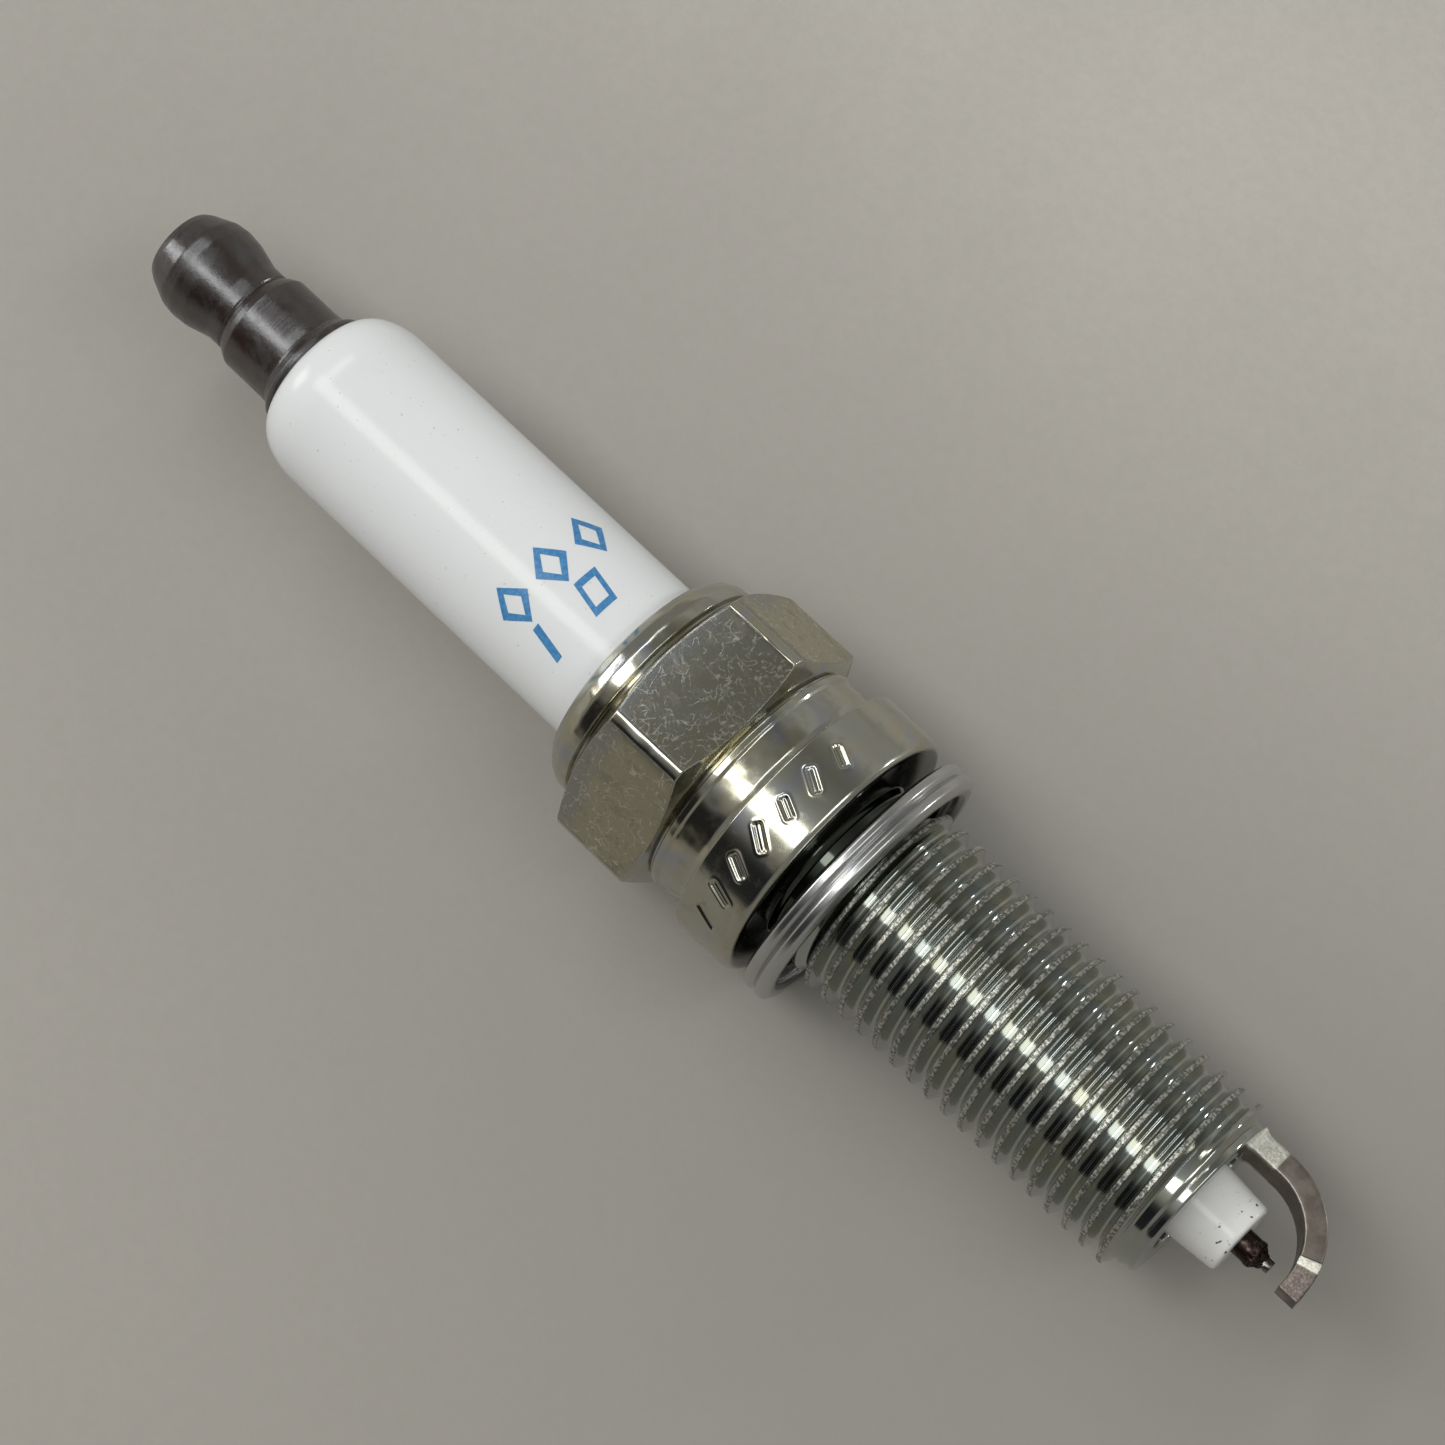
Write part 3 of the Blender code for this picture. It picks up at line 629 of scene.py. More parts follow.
def center_electrode():
    """The nickel electrode, with the ragged weld that holds the iridium tip."""
    tip = ELECTRODE_END
    outline = [
        (ELECTRODE_HEAD, 0.0, 0),
        (ELECTRODE_HEAD, ELECTRODE_HEAD_R, 0),
        (ELECTRODE_HEAD + 0.8, ELECTRODE_HEAD_R, 0),
        (ELECTRODE_HEAD + 1.6, ELECTRODE_R, 0),
        (28.0, ELECTRODE_R, 0),
        (tip - 0.12, ELECTRODE_R, 0.05),
        (tip + 0.06, 0.62, 0.1),
        (tip + 0.25, 0.48, 0.08),
        (tip + 0.4, 0.42, 0.05),
        (tip + 0.45, 0.3, 0.02),
        (tip + 0.45, 0.0, 0),
    ]
    points = refined(rounded(outline, 5), 0.08)
    obj = turned("electrode_and_weld", points, steps=96, closed=False)
    roughened(obj, amount=0.09, size=0.22, low_x=tip - 0.5, high_x=tip + 0.6, seed=1)
    return obj


def iridium_tip():
    """The fine tip, on the widening foot that the weld has left."""
    outline = [
        (TIP_LOW.x - 0.2, 0.0, 0),
        (TIP_LOW.x - 0.2, 0.5, 0),
        (TIP_LOW.x, 0.42, 0.05),
        (TIP_LOW.x + 0.25, POINT_R, 0.08),
        (TIP_HIGH.x, POINT_R, 0.05),
        (TIP_HIGH.x, 0.0, 0),
    ]
    points = refined(rounded(outline, 4), 0.06)
    obj = turned("iridium_point", points, steps=64, closed=False)
    roughened(obj, amount=0.07, size=0.22, low_x=TIP_LOW.x - 0.1, high_x=TIP_LOW.x + 0.45, seed=2)
    return obj


STRAP_WIDTH = 2.7
STRAP_THICKNESS = 1.25
STRAP_MID_Y = 4.3
STRAP_STRAIGHT_END = 28.65
STRAP_BEND_R = 4.5
STRAP_END_WIDTH = 1.6
STRAP_TAPER = 2.1              # length over which its end narrows
BURNISH_LENGTH = 1.75          # of the bright stretch by the weld
WELD_REACH = 0.28
WELD_FLARE = 0.16


def strap_path():
    """The strap's mid line as (x, y, heading): 0 heads along +X and -pi / 2 along -Y."""
    path = []
    start = SHELL_END - 0.03
    for i in range(14):
        path.append((start + (STRAP_STRAIGHT_END - start) * i / 14, STRAP_MID_Y, 0.0))
    bend_y = STRAP_MID_Y - STRAP_BEND_R
    steps = 60
    for i in range(steps + 1):
        angle = math.pi / 2 * (1 - i / steps)
        path.append((STRAP_STRAIGHT_END + STRAP_BEND_R * math.cos(angle),
                     bend_y + STRAP_BEND_R * math.sin(angle), angle - math.pi / 2))
    for i in range(1, 7):
        y = bend_y + (STRAP_END_Y - bend_y) * i / 6
        path.append((STRAP_STRAIGHT_END + STRAP_BEND_R, y, -math.pi / 2))
    return path


def rounded_box_ring(half_w, half_t, radius, per_corner=4, per_side=6):
    """A ring round a rectangle: (across, through) points with rounded corners."""
    ring = []
    corners = [(half_w, half_t, 0), (-half_w, half_t, 90),
               (-half_w, -half_t, 180), (half_w, -half_t, 270)]
    for k, (w, t, turn) in enumerate(corners):
        center_w = w - math.copysign(radius, w)
        center_t = t - math.copysign(radius, t)
        for i in range(per_corner + 1):
            angle = math.radians(turn + 90 * i / per_corner)
            ring.append((center_w + radius * math.cos(angle), center_t + radius * math.sin(angle)))
        next_w, next_t, _ = corners[(k + 1) % 4]
        from_w, from_t = ring[-1]
        angle = math.radians(turn + 90)
        to_w = next_w - math.copysign(radius, next_w) + radius * math.cos(angle)
        to_t = next_t - math.copysign(radius, next_t) + radius * math.sin(angle)
        for i in range(1, per_side):
            share = i / per_side
            ring.append((from_w + (to_w - from_w) * share, from_t + (to_t - from_t) * share))
    return ring


def ground_strap():
    """The strap that bends over the firing end, with a weld flash at its foot and a sheared end."""
    path = strap_path()
    lengths = [0.0]
    for a, b in zip(path, path[1:]):
        lengths.append(lengths[-1] + math.hypot(b[0] - a[0], b[1] - a[1]))
    total = lengths[-1]
    points = []
    cut = []
    burnish = []
    for (x, y, heading), length in zip(path, lengths):
        to_end = total - length
        cut_share = 1 - smooth_step(to_end, STRAP_TAPER - 0.15, STRAP_TAPER + 0.1)
        narrowing = max(0.0, 1 - to_end / STRAP_TAPER)
        half_w = (STRAP_WIDTH - (STRAP_WIDTH - STRAP_END_WIDTH) * narrowing) / 2
        half_t = STRAP_THICKNESS / 2
        radius = 0.13 - 0.07 * cut_share
        foot = math.exp(-(length / WELD_REACH) ** 2)
        flare = WELD_FLARE * foot
        side = Vector((-math.sin(heading), math.cos(heading), 0))
        for across, through in rounded_box_ring(half_w + flare, half_t + flare * 0.6, radius):
            wobble = noise.noise(Vector((length * 1.6, across * 1.4, through * 1.4))) * 0.02
            wobble += foot * 0.12 * noise.noise(Vector((across * 3.5, through * 3.5, length * 3)))
            place = Vector((x, y, across)) + side * (through + math.copysign(wobble, through))
            points.append(tuple(place))
            on_side = 1.0 if abs(across) > half_w * 0.8 else 0.0
            fresh = 1 - 0.8 * smooth_step(STRAP_TAPER - to_end, 0.3, 0.6)
            cut.append(cut_share * on_side * fresh)
            bright = 1 - smooth_step(length, BURNISH_LENGTH, BURNISH_LENGTH + 0.2)
            burnish.append(bright * on_side)
    ring = len(points) // len(path)
    faces = []
    for k in range(len(path) - 1):
        faces += bridge(k * ring, (k + 1) * ring, ring)
    faces.append(list(range(ring)))
    faces.append(list(range((len(path) - 1) * ring, len(path) * ring))[::-1])
    obj = mesh_object("ground_strap", points, faces, sharp_angle=32.0)
    store(obj, "cut", cut)
    store(obj, "burnish", burnish)
    return obj


# ---- Materials ----

class Graph:
    """Short names for building a node tree."""

    def __init__(self, tree):
        self.tree = tree

    def node(self, kind, inputs=None, **settings):
        made = self.tree.nodes.new(kind)
        for key, value in settings.items():
            setattr(made, key, value)
        for key, value in (inputs or {}).items():
            if isinstance(value, bpy.types.NodeSocket):
                self.tree.links.new(value, made.inputs[key])
            else:
                made.inputs[key].default_value = value
        return made

    def math(self, operation, a, b=0.0):
        return self.node("ShaderNodeMath", {0: a, 1: b}, operation=operation).outputs[0]

    def plus(self, a, b):
        return self.math("ADD", a, b)

    def times(self, a, b):
        return self.math("MULTIPLY", a, b)

    def vector(self, operation, a, b=(0, 0, 0)):
        return self.node("ShaderNodeVectorMath", {0: a, 1: b}, operation=operation).outputs

    def place(self):
        """The surface's own place in millimetres."""
        at = self.node("ShaderNodeTexCoord").outputs["Object"]
        return self.stretch(at, (1 / MM, 1 / MM, 1 / MM))

    def stretch(self, vector, factors):
        return self.vector("MULTIPLY", vector, factors)[0]

    def split(self, vector):
        return self.node("ShaderNodeSeparateXYZ", {0: vector}).outputs

    def noise(self, vector, scale, detail=2.0, roughness=0.5, distortion=0.0):
        inputs = {"Vector": vector, "Scale": scale, "Detail": detail, "Roughness": roughness,
                  "Distortion": distortion}
        return self.node("ShaderNodeTexNoise", inputs).outputs[0]

    def between(self, value, low, high, to_low=0.0, to_high=1.0):
        inputs = {0: value, 1: low, 2: high, 3: to_low, 4: to_high}
        return self.node("ShaderNodeMapRange", inputs, interpolation_type="SMOOTHSTEP").outputs[0]

    def mix(self, share, a, b):
        return self.node("ShaderNodeMix", {0: share, 6: a, 7: b}, data_type="RGBA").outputs[2]

    def attribute(self, name):
        return self.node("ShaderNodeAttribute", attribute_name=name).outputs["Fac"]

    def bump(self, height, microns, normal=None):
        inputs = {"Height": height, "Distance": microns * 1e-6, "Strength": 1.0}
        if normal is not None:
            inputs["Normal"] = normal
        return self.node("ShaderNodeBump", inputs).outputs[0]


def new_material(name, build):
    """A material whose Principled settings come from build(graph), a dict of socket values."""
    material = bpy.data.materials.new(name)
    material.use_nodes = True
    graph = Graph(material.node_tree)
    graph.tree.nodes.clear()
    shader = graph.node("ShaderNodeBsdfPrincipled", build(graph))
    graph.node("ShaderNodeOutputMaterial", {0: shader.outputs[0]})
    return material


def zinc_tone(graph, at):
    """Bright zinc with faint straw and violet patches left by its clear passivation."""
    patch = graph.noise(at, 0.32, 3.0, 0.55, 0.6)
    straw = graph.mix(graph.between(patch, 0.4, 0.62), (0.46, 0.46, 0.41, 1), (0.47, 0.45, 0.35, 1))
    violet = graph.between(graph.noise(at, 0.5, 2.0), 0.54, 0.72)
    return graph.mix(violet, straw, (0.42, 0.43, 0.45, 1))


def along_and_out(graph, at):
    """A place's distance along the plug's axis, and out from it."""
    x, y, z = graph.split(at)
    square = graph.plus(graph.times(y, y), graph.times(z, z))
    return x, graph.math("SQRT", square)


def seat_shade(graph, at):
    """1 on the seat face inside its rim, where painted shade darkens the recess next to the gasket."""
    x, r = along_and_out(graph, at)
    inside = graph.between(r, SEAT_R - 0.5, SEAT_R - 0.25, 1.0, 0.0)
    return graph.times(inside, graph.between(x, -0.4, -0.15))


def turned_zinc(graph):
    at = graph.place()
    tone = zinc_tone(graph, at)
    # painted shade: the seat face inside the rim is darkened to near black
    tone = graph.mix(graph.times(seat_shade(graph, at), 0.9), tone, (0.05, 0.055, 0.045, 1))
    lines = graph.noise(graph.stretch(at, (1.0, 0.04, 0.04)), 9.0, 3.0, 0.6)
    grain = graph.noise(at, 14.0, 2.0)
    dull = graph.between(graph.noise(at, 0.9, 5.0, 0.65), 0.5, 0.72)
    roughness = graph.plus(graph.times(dull, 0.12), 0.15)
    tone = graph.mix(graph.times(dull, 0.3), tone, (0.29, 0.275, 0.23, 1))
    height = graph.plus(lines, graph.times(grain, 0.35))
    return {"Base Color": tone, "Metallic": 1.0, "Roughness": roughness,
            "Normal": graph.bump(height, 2.2)}


def scratches(graph, at, turn, scale):
    """Thin short strokes that run one way, in the places that a second noise picks."""
    turned_at = graph.node("ShaderNodeVectorRotate", {"Vector": at, "Angle": turn},
                           rotation_type="Z_AXIS").outputs[0]
    bent = graph.noise(at, 1.1, 2.0)
    stretched = graph.stretch(graph.vector("ADD", turned_at, bent)[0], (0.5, 1.7, 1.1))
    strokes = graph.noise(stretched, scale, 0.0, 0.4)
    ridge = graph.math("ABSOLUTE", graph.math("SUBTRACT", strokes, 0.5))
    line = graph.between(ridge, 0.006, 0.022, 1.0, 0.0)
    return graph.times(line, graph.between(graph.noise(turned_at, 1.3, 3.0, 0.7), 0.48, 0.6))


def on_flats(graph, at):
    """1 on the hexagon's six flats and 0 elsewhere."""
    x, y, z = graph.split(at)
    reach = 0.0
    for degrees in (0, 60, 120):
        y_part = graph.times(y, math.sin(math.radians(degrees) - HEX_TURN))
        z_part = graph.times(z, math.cos(math.radians(degrees) - HEX_TURN))
        reach = graph.math("MAXIMUM", reach, graph.math("ABSOLUTE", graph.plus(y_part, z_part)))
    flat = graph.between(reach, HEX_FLAT_R - 0.03, HEX_FLAT_R - 0.008)
    return graph.times(flat, graph.math("LESS_THAN", x, HEX_HIGH + 0.1))


def handled_zinc(graph):
    """Bright turned zinc, but dull, scratched and smudged by handling on the flats."""
    at = graph.place()
    bright = turned_zinc(graph)
    flat = on_flats(graph, at)
    marks = 0.0
    for turn, scale in ((0.9, 1.0), (2.4, 1.2), (1.6, 0.9), (0.2, 1.1)):
        marks = graph.math("MAXIMUM", marks, scratches(graph, at, turn, scale))
    smudge = graph.between(graph.noise(at, 0.9, 6.0, 0.7, 0.8), 0.5, 0.72)
    cloud = graph.between(graph.noise(at, 0.45, 4.0, 0.6), 0.42, 0.62)
    dull = graph.mix(cloud, (0.30, 0.285, 0.225, 1), (0.31, 0.30, 0.265, 1))
    x, _, z = graph.split(at)
    # painted reflection: the flats that face sideways or down get a lighter, warmer tone than the top
    # flat, standing in for the warm floor they mirror
    dull = graph.mix(graph.between(z, 6.8, 7.7, 1.0, 0.0), dull, (0.45, 0.425, 0.315, 1))
    dull = graph.mix(graph.times(smudge, 0.45), dull, (0.21, 0.195, 0.15, 1))
    edge = graph.between(graph.plus(x, cloud), HEX_LOW + 1.0, HEX_LOW + 2.4, 0.6, 0.0)
    dull = graph.mix(edge, dull, (0.31, 0.325, 0.34, 1))
    dull = graph.mix(graph.times(marks, 0.6), dull, (0.78, 0.78, 0.73, 1))
    tone = graph.mix(flat, bright["Base Color"], dull)
    grain = graph.noise(at, 11.0, 4.0, 0.6)
    height = graph.plus(graph.times(marks, 0.8), graph.times(grain, 1.3))
    height = graph.times(height, flat)
    rough_flat = graph.plus(graph.times(smudge, 0.1), graph.between(z, 7.3, 7.8, 0.42, 0.25))
    roughness = graph.node("ShaderNodeMix", {0: flat, 2: bright["Roughness"], 3: rough_flat}).outputs[0]
    waves = graph.times(graph.noise(at, 0.55, 1.0), graph.math("SUBTRACT", 1.0, flat))
    wavy = graph.bump(waves, 130.0, bright["Normal"])
    return {"Base Color": tone, "Metallic": 1.0, "Roughness": roughness,
            "Normal": graph.bump(height, 2.4, wavy)}


def thread_zinc(graph):
    at = graph.place()
    crest = graph.between(graph.attribute("crest"), 0.88, 0.96)
    tone = graph.mix(graph.between(graph.noise(at, 0.6, 3.0), 0.4, 0.65),
                     (0.405, 0.43, 0.415, 1), (0.43, 0.435, 0.38, 1))
    grain = graph.noise(at, 5.0, 2.0, 0.6)
    worn = graph.mix(graph.between(grain, 0.44, 0.58), (0.20, 0.20, 0.18, 1), (0.58, 0.58, 0.53, 1))
    tone = graph.mix(crest, tone, worn)
    x, r = along_and_out(graph, at)
    # painted shade: the undercut next to the seat, shaded by the collar and gasket, is darkened to near
    # black
    undercut_shade = graph.times(graph.between(x, 0.9, 1.9, 0.92, 0.0), graph.between(r, 4.6, 4.8))
    tone = graph.mix(undercut_shade, tone, (0.04, 0.048, 0.038, 1))
    phase = graph.node("ShaderNodeAttribute", attribute_name="phase").outputs["Vector"]
    drift = graph.vector("ADD", phase, graph.stretch(at, (0.06, 0.03, 0.03)))[0]
    lines = graph.noise(drift, 1.9, 2.0, 0.6)
    height = graph.plus(lines, graph.times(graph.times(grain, crest), 4.0))
    roughness = graph.plus(graph.times(crest, 0.34), 0.1)
    return {"Base Color": tone, "Metallic": 1.0, "Roughness": roughness,
            "Normal": graph.bump(height, 12.0)}


def gasket_zinc(graph):
    at = graph.place()
    tone = graph.mix(graph.between(graph.noise(at, 0.5, 3.0), 0.4, 0.65),
                     (0.53, 0.535, 0.54, 1), (0.51, 0.505, 0.49, 1))
    r = along_and_out(graph, at)[1]
    # painted shade: the inner web and bore, held between the beads, are darkened to near black
    tone = graph.mix(graph.between(r, 6.5, 7.1, 0.9, 0.0), tone, (0.05, 0.05, 0.05, 1))
    lines = graph.noise(graph.stretch(at, (1.0, 0.08, 0.08)), 5.0, 3.0, 0.6)
    grain = graph.noise(at, 9.0, 3.0)
    height = graph.plus(lines, graph.times(grain, 0.5))
    return {"Base Color": tone, "Metallic": 1.0, "Roughness": 0.25,
            "Normal": graph.bump(height, 3.0)}


def white_glaze(graph):
    """White glaze on the barrel; bare ceramic with soot specks at the firing end."""
    at = graph.place()
    x = graph.split(at)[0]
    bare = graph.between(x, 8.0, 10.0)
    cloud = graph.noise(at, 0.25, 3.0)
    white = graph.mix(cloud, (0.82, 0.84, 0.865, 1), (0.86, 0.875, 0.885, 1))
    white = graph.mix(bare, white, (0.83, 0.825, 0.815, 1))
    specks = graph.between(graph.noise(at, 3.0, 2.0, 0.4), 0.68, 0.72)
    sooty = graph.between(x, INSULATOR_TIP - 2.0, INSULATOR_TIP - 0.9)
    tone = graph.mix(graph.times(specks, sooty), white, (0.06, 0.055, 0.05, 1))
    dust = graph.between(graph.noise(at, 5.5, 2.0, 0.4), 0.735, 0.76)
    tone = graph.mix(graph.times(dust, 0.5), tone, (0.35, 0.30, 0.25, 1))
    ripple = graph.noise(at, 0.9, 2.0)
    roughness = graph.between(bare, 0.0, 1.0, 0.17, 0.2)
    return {"Base Color": tone, "Roughness": roughness, "Specular IOR Level": 0.32,
            "Subsurface Weight": 0.12, "Subsurface Radius": (1.0, 0.9, 0.8),
            "Subsurface Scale": 0.0006, "Normal": graph.bump(ripple, 9.0)}


def blue_ink(graph):
    at = graph.place()
    worn = graph.noise(at, 5.0, 4.0, 0.7)
    tone = graph.mix(graph.between(worn, 0.35, 0.7), (0.045, 0.21, 0.48, 1), (0.10, 0.32, 0.60, 1))
    return {"Base Color": tone, "Roughness": 0.35, "Normal": graph.bump(worn, 2.0)}


def oiled_steel(graph):
    at = graph.place()
    patch = graph.between(graph.noise(at, 0.7, 4.0, 0.65, 0.4), 0.38, 0.66)
    tone = graph.mix(patch, (0.021, 0.010, 0.007, 1), (0.032, 0.027, 0.025, 1))
    rust = graph.between(graph.noise(at, 1.6, 4.0, 0.7), 0.6, 0.72)
    tone = graph.mix(graph.times(rust, 0.4), tone, (0.05, 0.03, 0.022, 1))
    lines = graph.noise(graph.stretch(at, (1.0, 0.06, 0.06)), 6.0, 3.0, 0.6)
    grain = graph.noise(at, 6.0, 5.0, 0.65)
    height = graph.plus(lines, graph.times(grain, 1.4))
    roughness = graph.between(patch, 0.0, 1.0, 0.22, 0.32)
    return {"Base Color": tone, "Metallic": 0.1, "Roughness": roughness,
            "Specular IOR Level": 1.0, "IOR": 1.62, "Specular Tint": (0.93, 0.96, 1.0, 1),
            "Normal": graph.bump(height, 8.0)}


def strap_nickel(graph):
    at = graph.place()
    along = graph.noise(graph.stretch(at, (0.5, 0.5, 4.0)), 3.0, 3.0, 0.6)
    patch = graph.noise(at, 1.1, 4.0, 0.6)
    tone = graph.mix(graph.between(patch, 0.35, 0.7), (0.24, 0.205, 0.18, 1), (0.35, 0.31, 0.28, 1))
    rough_cut = graph.noise(at, 6.0, 5.0, 0.75)
    burnish = graph.attribute("burnish")
    cut = graph.attribute("cut")
    fresh = graph.math("MAXIMUM", burnish, cut)
    bright = graph.mix(graph.between(rough_cut, 0.38, 0.6), (0.52, 0.50, 0.43, 1), (0.74, 0.73, 0.66, 1))
    torn = graph.mix(graph.between(rough_cut, 0.4, 0.65), (0.09, 0.072, 0.066, 1), (0.18, 0.155, 0.14, 1))
    tone = graph.mix(graph.between(cut, 0.05, 0.18), tone, torn)
    tone = graph.mix(graph.between(fresh, 0.25, 0.6), tone, bright)
    height = graph.plus(graph.times(along, 0.6), graph.times(graph.times(rough_cut, fresh), 6.0))
    return {"Base Color": tone, "Metallic": 1.0, "Roughness": 0.38,
            "Normal": graph.bump(height, 6.0)}


def scorched_nickel(graph):
    at = graph.place()
    patch = graph.noise(at, 2.6, 5.0, 0.7)
    tone = graph.mix(graph.between(patch, 0.5, 0.8), (0.032, 0.02, 0.018, 1), (0.22, 0.18, 0.15, 1))
    height = graph.noise(at, 7.0, 4.0, 0.65)
    return {"Base Color": tone, "Metallic": 0.9, "Roughness": 0.36,
            "Normal": graph.bump(height, 10.0)}


def iridium_metal(graph):
    at = graph.place()
    patch = graph.noise(at, 3.5, 4.0, 0.6)
    tone = graph.mix(graph.between(patch, 0.4, 0.75), (0.05, 0.038, 0.034, 1), (0.36, 0.33, 0.3, 1))
    return {"Base Color": tone, "Metallic": 1.0, "Roughness": 0.32,
            "Normal": graph.bump(graph.noise(at, 9.0, 3.0), 6.0)}


def hidden_finish(dark, light, metallic, roughness, scale):
    """A mottled finish for the pieces sealed inside the plug."""
    def build(graph):
        at = graph.place()
        patch = graph.noise(at, scale, 5.0, 0.65)
        return {"Base Color": graph.mix(graph.between(patch, 0.3, 0.7), dark, light),
                "Metallic": metallic, "Roughness": roughness,
                "Normal": graph.bump(graph.noise(at, scale * 4, 4.0), 12.0)}
    return build


HIDDEN_FINISHES = {
    "copper": ((0.60, 0.27, 0.15, 1), (0.80, 0.44, 0.29, 1), 1.0, 0.35, 1.5),
    "glass_seal": ((0.07, 0.05, 0.04, 1), (0.30, 0.17, 0.10, 1), 0.3, 0.3, 2.5),
    "resistor_body": ((0.03, 0.03, 0.033, 1), (0.12, 0.115, 0.12, 1), 0.0, 0.75, 3.0),
    "packing_steel": ((0.36, 0.35, 0.33, 1), (0.55, 0.54, 0.52, 1), 1.0, 0.4, 2.0),
    "talc": ((0.70, 0.68, 0.62, 1), (0.88, 0.87, 0.83, 1), 0.0, 0.95, 2.0),
    "nickel_alloy": ((0.30, 0.27, 0.24, 1), (0.42, 0.39, 0.36, 1), 1.0, 0.4, 2.0),
}


def paint_hidden_nodes():
    """Give the CAD pieces that still show their own mottled finishes, slot by slot."""
    made = {}
    for node in frame["nodes"].values():
        for slot in node.material_slots:
            name = slot.material.name.split(".")[0]
            if name in HIDDEN_FINISHES:
                if name not in made:
                    made[name] = new_material("mottled_" + name, hidden_finish(*HIDDEN_FINISHES[name]))
                slot.material = made[name]


# ---- Floor and light ----

FLOOR_HALF = 4000.0
FLOOR_DARK = (0.32, 0.30, 0.272, 1)
FLOOR_LIGHT = (0.575, 0.548, 0.508, 1)
FLOOR_SWEEP = (-0.68, 0.73, 0.0)          # the way it grows lighter, and over what stretch
FLOOR_SWEEP_FROM = -80.0
FLOOR_SWEEP_TO = 65.0


def floor():
    low_z = CAD_BOX[0].z / MM
    corners = [(-FLOOR_HALF, -FLOOR_HALF), (FLOOR_HALF, -FLOOR_HALF),
               (FLOOR_HALF, FLOOR_HALF), (-FLOOR_HALF, FLOOR_HALF)]
    mesh = bpy.data.meshes.new("floor")
    mesh.from_pydata([(x * MM, y * MM, low_z * MM) for x, y in corners], [], [(0, 1, 2, 3)])

    def build(graph):
        """Lighter one way and darker round the plug: colour in place of a real room's shading."""
        at = graph.place()
        cloud = graph.noise(at, 0.02, 4.0, 0.6)
        grain = graph.noise(at, 1.5, 5.0, 0.7)
        along = graph.vector("DOT_PRODUCT", at, FLOOR_SWEEP)["Value"]
        sweep = graph.between(along, FLOOR_SWEEP_FROM, FLOOR_SWEEP_TO)
        tone = graph.mix(sweep, FLOOR_DARK, FLOOR_LIGHT)
        reach = graph.vector("LENGTH", graph.stretch(at, (0.32, 1.0, 0.0)))["Value"]
        patch = graph.between(reach, 13.0, 55.0, 0.42, 0.0)
        tone = graph.mix(patch, tone, (0.22, 0.207, 0.188, 1))
        tone = graph.mix(graph.between(cloud, 0.3, 0.7, 0.0, 0.3), tone, (0.37, 0.352, 0.325, 1))
        tone = graph.mix(graph.between(grain, 0.3, 0.7, 0.0, 0.14), tone, (0.30, 0.285, 0.26, 1))
        return {"Base Color": tone, "Roughness": 0.6, "Specular IOR Level": 0.3,
                "Normal": graph.bump(grain, 20.0)}

    mesh.materials.append(new_material("plain_floor", build))
    add_object("floor", mesh)


# Brightness of the room round the plug, by the angle from straight up towards -Y
ROOM = [
    (-180, (0.22, 0.215, 0.20)),
    (-100, (0.36, 0.355, 0.34)),
    (-68, (0.36, 0.355, 0.34)),
    (-56, (0.43, 0.425, 0.40)),
    (-43, (0.23, 0.225, 0.205)),
    (-29, (0.17, 0.17, 0.155)),
    (-15, (0.23, 0.23, 0.21)),
    (-3, (0.29, 0.295, 0.28)),
    (8, (0.40, 0.41, 0.40)),
    (34, (0.46, 0.465, 0.45)),
    (42, (0.34, 0.335, 0.315)),
    (48, (0.20, 0.195, 0.18)),
    (53, (0.06, 0.06, 0.06)),
    (61, (0.018, 0.018, 0.02)),
    (88, (0.025, 0.026, 0.028)),
    (96, (0.14, 0.135, 0.12)),
    (180, (0.22, 0.215, 0.20)),
]


def room_light():
    """Soft light in bands that run along the plug, with plain walls past its two ends."""
    world = bpy.data.worlds.new("room")
    world.use_nodes = True
    graph = Graph(world.node_tree)
    graph.tree.nodes.clear()
    parts = graph.split(graph.node("ShaderNodeTexCoord").outputs["Generated"])
    roll = graph.math("ARCTAN2", graph.times(parts[1], -1.0), parts[2])
    share = graph.plus(graph.math("DIVIDE", roll, math.tau), 0.5)
    ramp = graph.node("ShaderNodeValToRGB", {0: share})
    stops = ramp.color_ramp.elements
    while len(stops) < len(ROOM):
        stops.new(0.5)
    for stop, (degrees, color) in zip(stops, ROOM):
        stop.position = degrees / 360 + 0.5
        stop.color = (*color, 1)
    sideways = graph.between(graph.math("ABSOLUTE", parts[0]), 0.4, 0.65)
    walls = graph.mix(sideways, ramp.outputs[0], (0.28, 0.275, 0.26, 1))
    background = graph.node("ShaderNodeBackground", {0: walls, 1: 1.0})
    graph.node("ShaderNodeOutputWorld", {0: background.outputs[0]})
    bpy.context.scene.world = world


LAMP_TARGET = Vector((-10, 0, 0))         # near the plug's middle
# Each lamp's name, roll and slide in degrees, distance, two sides, radiance and colour
LAMPS = [
    ("key", 21.8, -13.0, 900.0, 1100.0, 250.0, 4.25, (1.0, 1.0, 0.97)),
    ("left_panel", -8.5, -35.0, 900.0, 130.0, 600.0, 3.6, (0.98, 1.0, 1.0)),
    ("right_panel", -8.5, 33.0, 900.0, 150.0, 600.0, 3.6, (0.98, 1.0, 1.0)),
    ("right_spot", -79.0, 30.0, 900.0, 110.0, 60.0, 32.0, (0.97, 1.0, 1.0)),
    ("left_window", 48.0, -67.0, 500.0, 150.0, 150.0, 5.0, (1.0, 1.0, 0.98)),
]


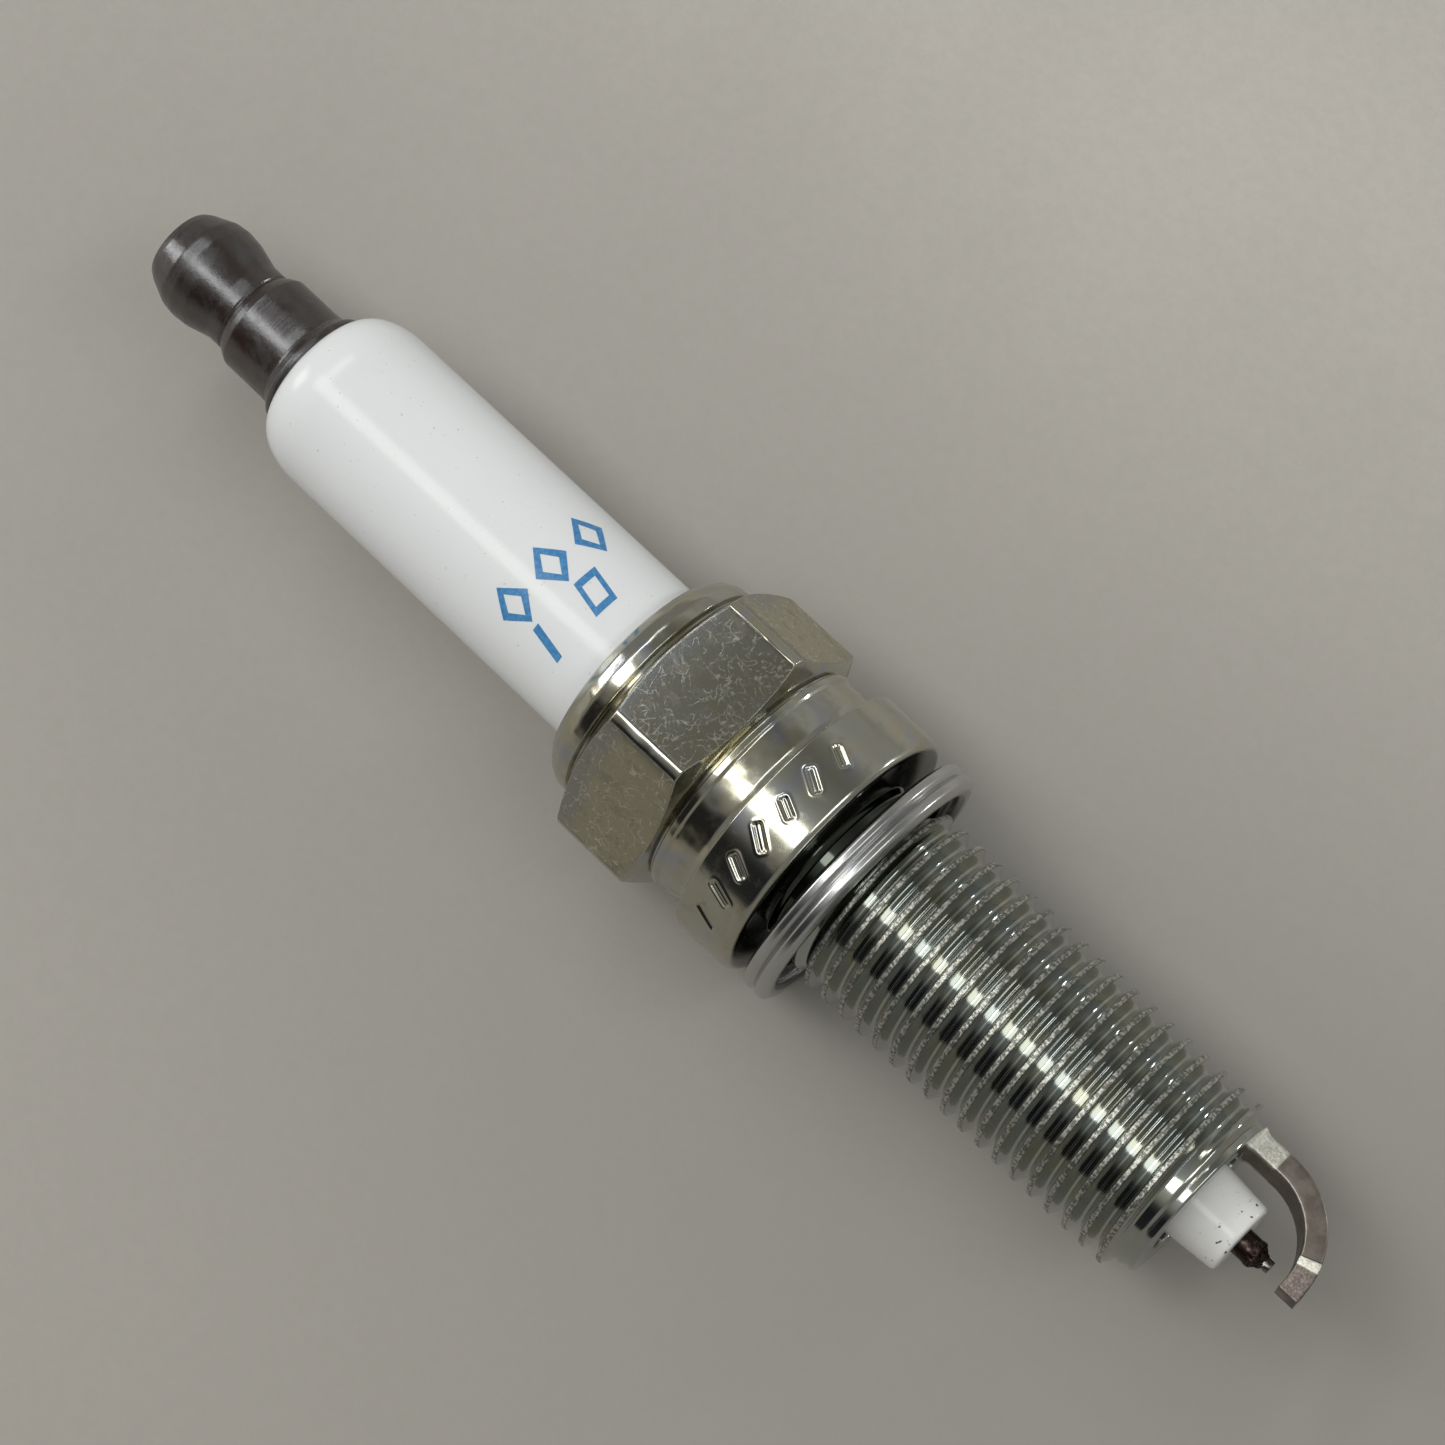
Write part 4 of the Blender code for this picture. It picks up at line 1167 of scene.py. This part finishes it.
def softbox(name, roll, slide, distance, size_x, size_y, radiance, color):
    """A flat lamp that faces the plug: roll is from straight up towards -Y, slide along X."""
    roll, slide = math.radians(roll), math.radians(slide)
    away = Vector((math.sin(slide), -math.sin(roll) * math.cos(slide),
                   math.cos(roll) * math.cos(slide)))
    data = bpy.data.lights.new(name, "AREA")
    data.shape = "RECTANGLE"
    data.size = size_x * MM
    data.size_y = size_y * MM
    data.energy = radiance * math.pi * data.size * data.size_y
    data.color = color
    lamp = add_object(name, data)
    along = Vector((1, 0, 0))
    along = (along - away * along.dot(away)).normalized()
    across = away.cross(along)
    axes = Matrix((along, across, away)).transposed().to_4x4()
    lamp.matrix_world = Matrix.Translation((LAMP_TARGET + away * distance) * MM) @ axes
    lamp.visible_camera = False


def add_lights():
    room_light()
    for lamp in LAMPS:
        softbox(*lamp)


# ---- Camera ----

CAMERA_FOOT = 40.9                        # the point of the plug's axis nearest the camera
CAMERA_DISTANCE = 209.0                   # from the plug's axis
CAMERA_ROLL_ROUND_PLUG = math.radians(15.2)   # from straight above towards -Y
CAMERA_TILT = math.radians(13.63)         # of the line of sight towards the terminal
CAMERA_OFF_AXIS = math.radians(0.329)     # of the line of sight towards +Y
PLUG_SLOPE_IN_VIEW = math.radians(43.2)   # the plug runs down to the right in the picture
LENS_MM = 98.4


def add_camera():
    """The camera at the photographed view: out is from the plug's axis towards it."""
    out = Vector((0, -math.sin(CAMERA_ROLL_ROUND_PLUG), math.cos(CAMERA_ROLL_ROUND_PLUG)))
    along = Vector((1, 0, 0))
    side = -along.cross(out)
    forward = -math.cos(CAMERA_TILT) * out - math.sin(CAMERA_TILT) * along
    plug_axis = math.cos(CAMERA_TILT) * along - math.sin(CAMERA_TILT) * out
    turn = Matrix.Rotation(CAMERA_OFF_AXIS, 3, plug_axis)
    if (turn @ forward).dot(side) < 0:
        turn.transpose()
    forward = turn @ forward
    down_left = turn @ -side
    slope = PLUG_SLOPE_IN_VIEW
    right = math.cos(slope) * plug_axis - math.sin(slope) * down_left
    up = -math.sin(slope) * plug_axis - math.cos(slope) * down_left
    data = bpy.data.cameras.new("camera")
    data.lens = LENS_MM
    data.clip_start = 0.01
    data.clip_end = 50.0
    camera = add_object("camera", data)
    place = (Vector((CAMERA_FOOT, 0, 0)) + out * CAMERA_DISTANCE) * MM
    axes = Matrix((right, up, -forward)).transposed().to_4x4()
    camera.matrix_world = Matrix.Translation(place) @ axes
    bpy.context.scene.camera = camera


# ---- The plug ----

def dress(piece, body, finish, node):
    """Finish a piece, fix it to a body and hide the CAD node that it replaces."""
    piece.data.materials.append(new_material(finish.__name__, finish))
    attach(piece, body)
    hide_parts(node)


def build_plug():
    """Make every piece that shows, and finish the CAD pieces that stay."""
    head = turned("shell_head", head_profile, steps=720, closed=True)
    collar = turned("shell_collar", collar_profile(), steps=900, closed=True, shape=stamped)
    dress(head, "plug", handled_zinc, "metal_shell")
    dress(collar, "plug", turned_zinc, "metal_shell")
    dress(threaded_barrel(), "plug", thread_zinc, "metal_shell")
    dress(ring_gasket(), "gasket", gasket_zinc, "ring_gasket")
    dress(insulator(), "plug", white_glaze, "insulator")
    dress(printed_marks(), "plug", blue_ink, "insulator")
    dress(terminal(), "plug", oiled_steel, "terminal_stud")
    dress(center_electrode(), "plug", scorched_nickel, "center_electrode")
    dress(iridium_tip(), "plug", iridium_metal, "iridium_tip")
    dress(ground_strap(), "plug", strap_nickel, "ground_electrode")
    paint_hidden_nodes()


bpy.context.scene.view_settings.view_transform = "Standard"
add_camera()
floor()
add_lights()
build_plug()
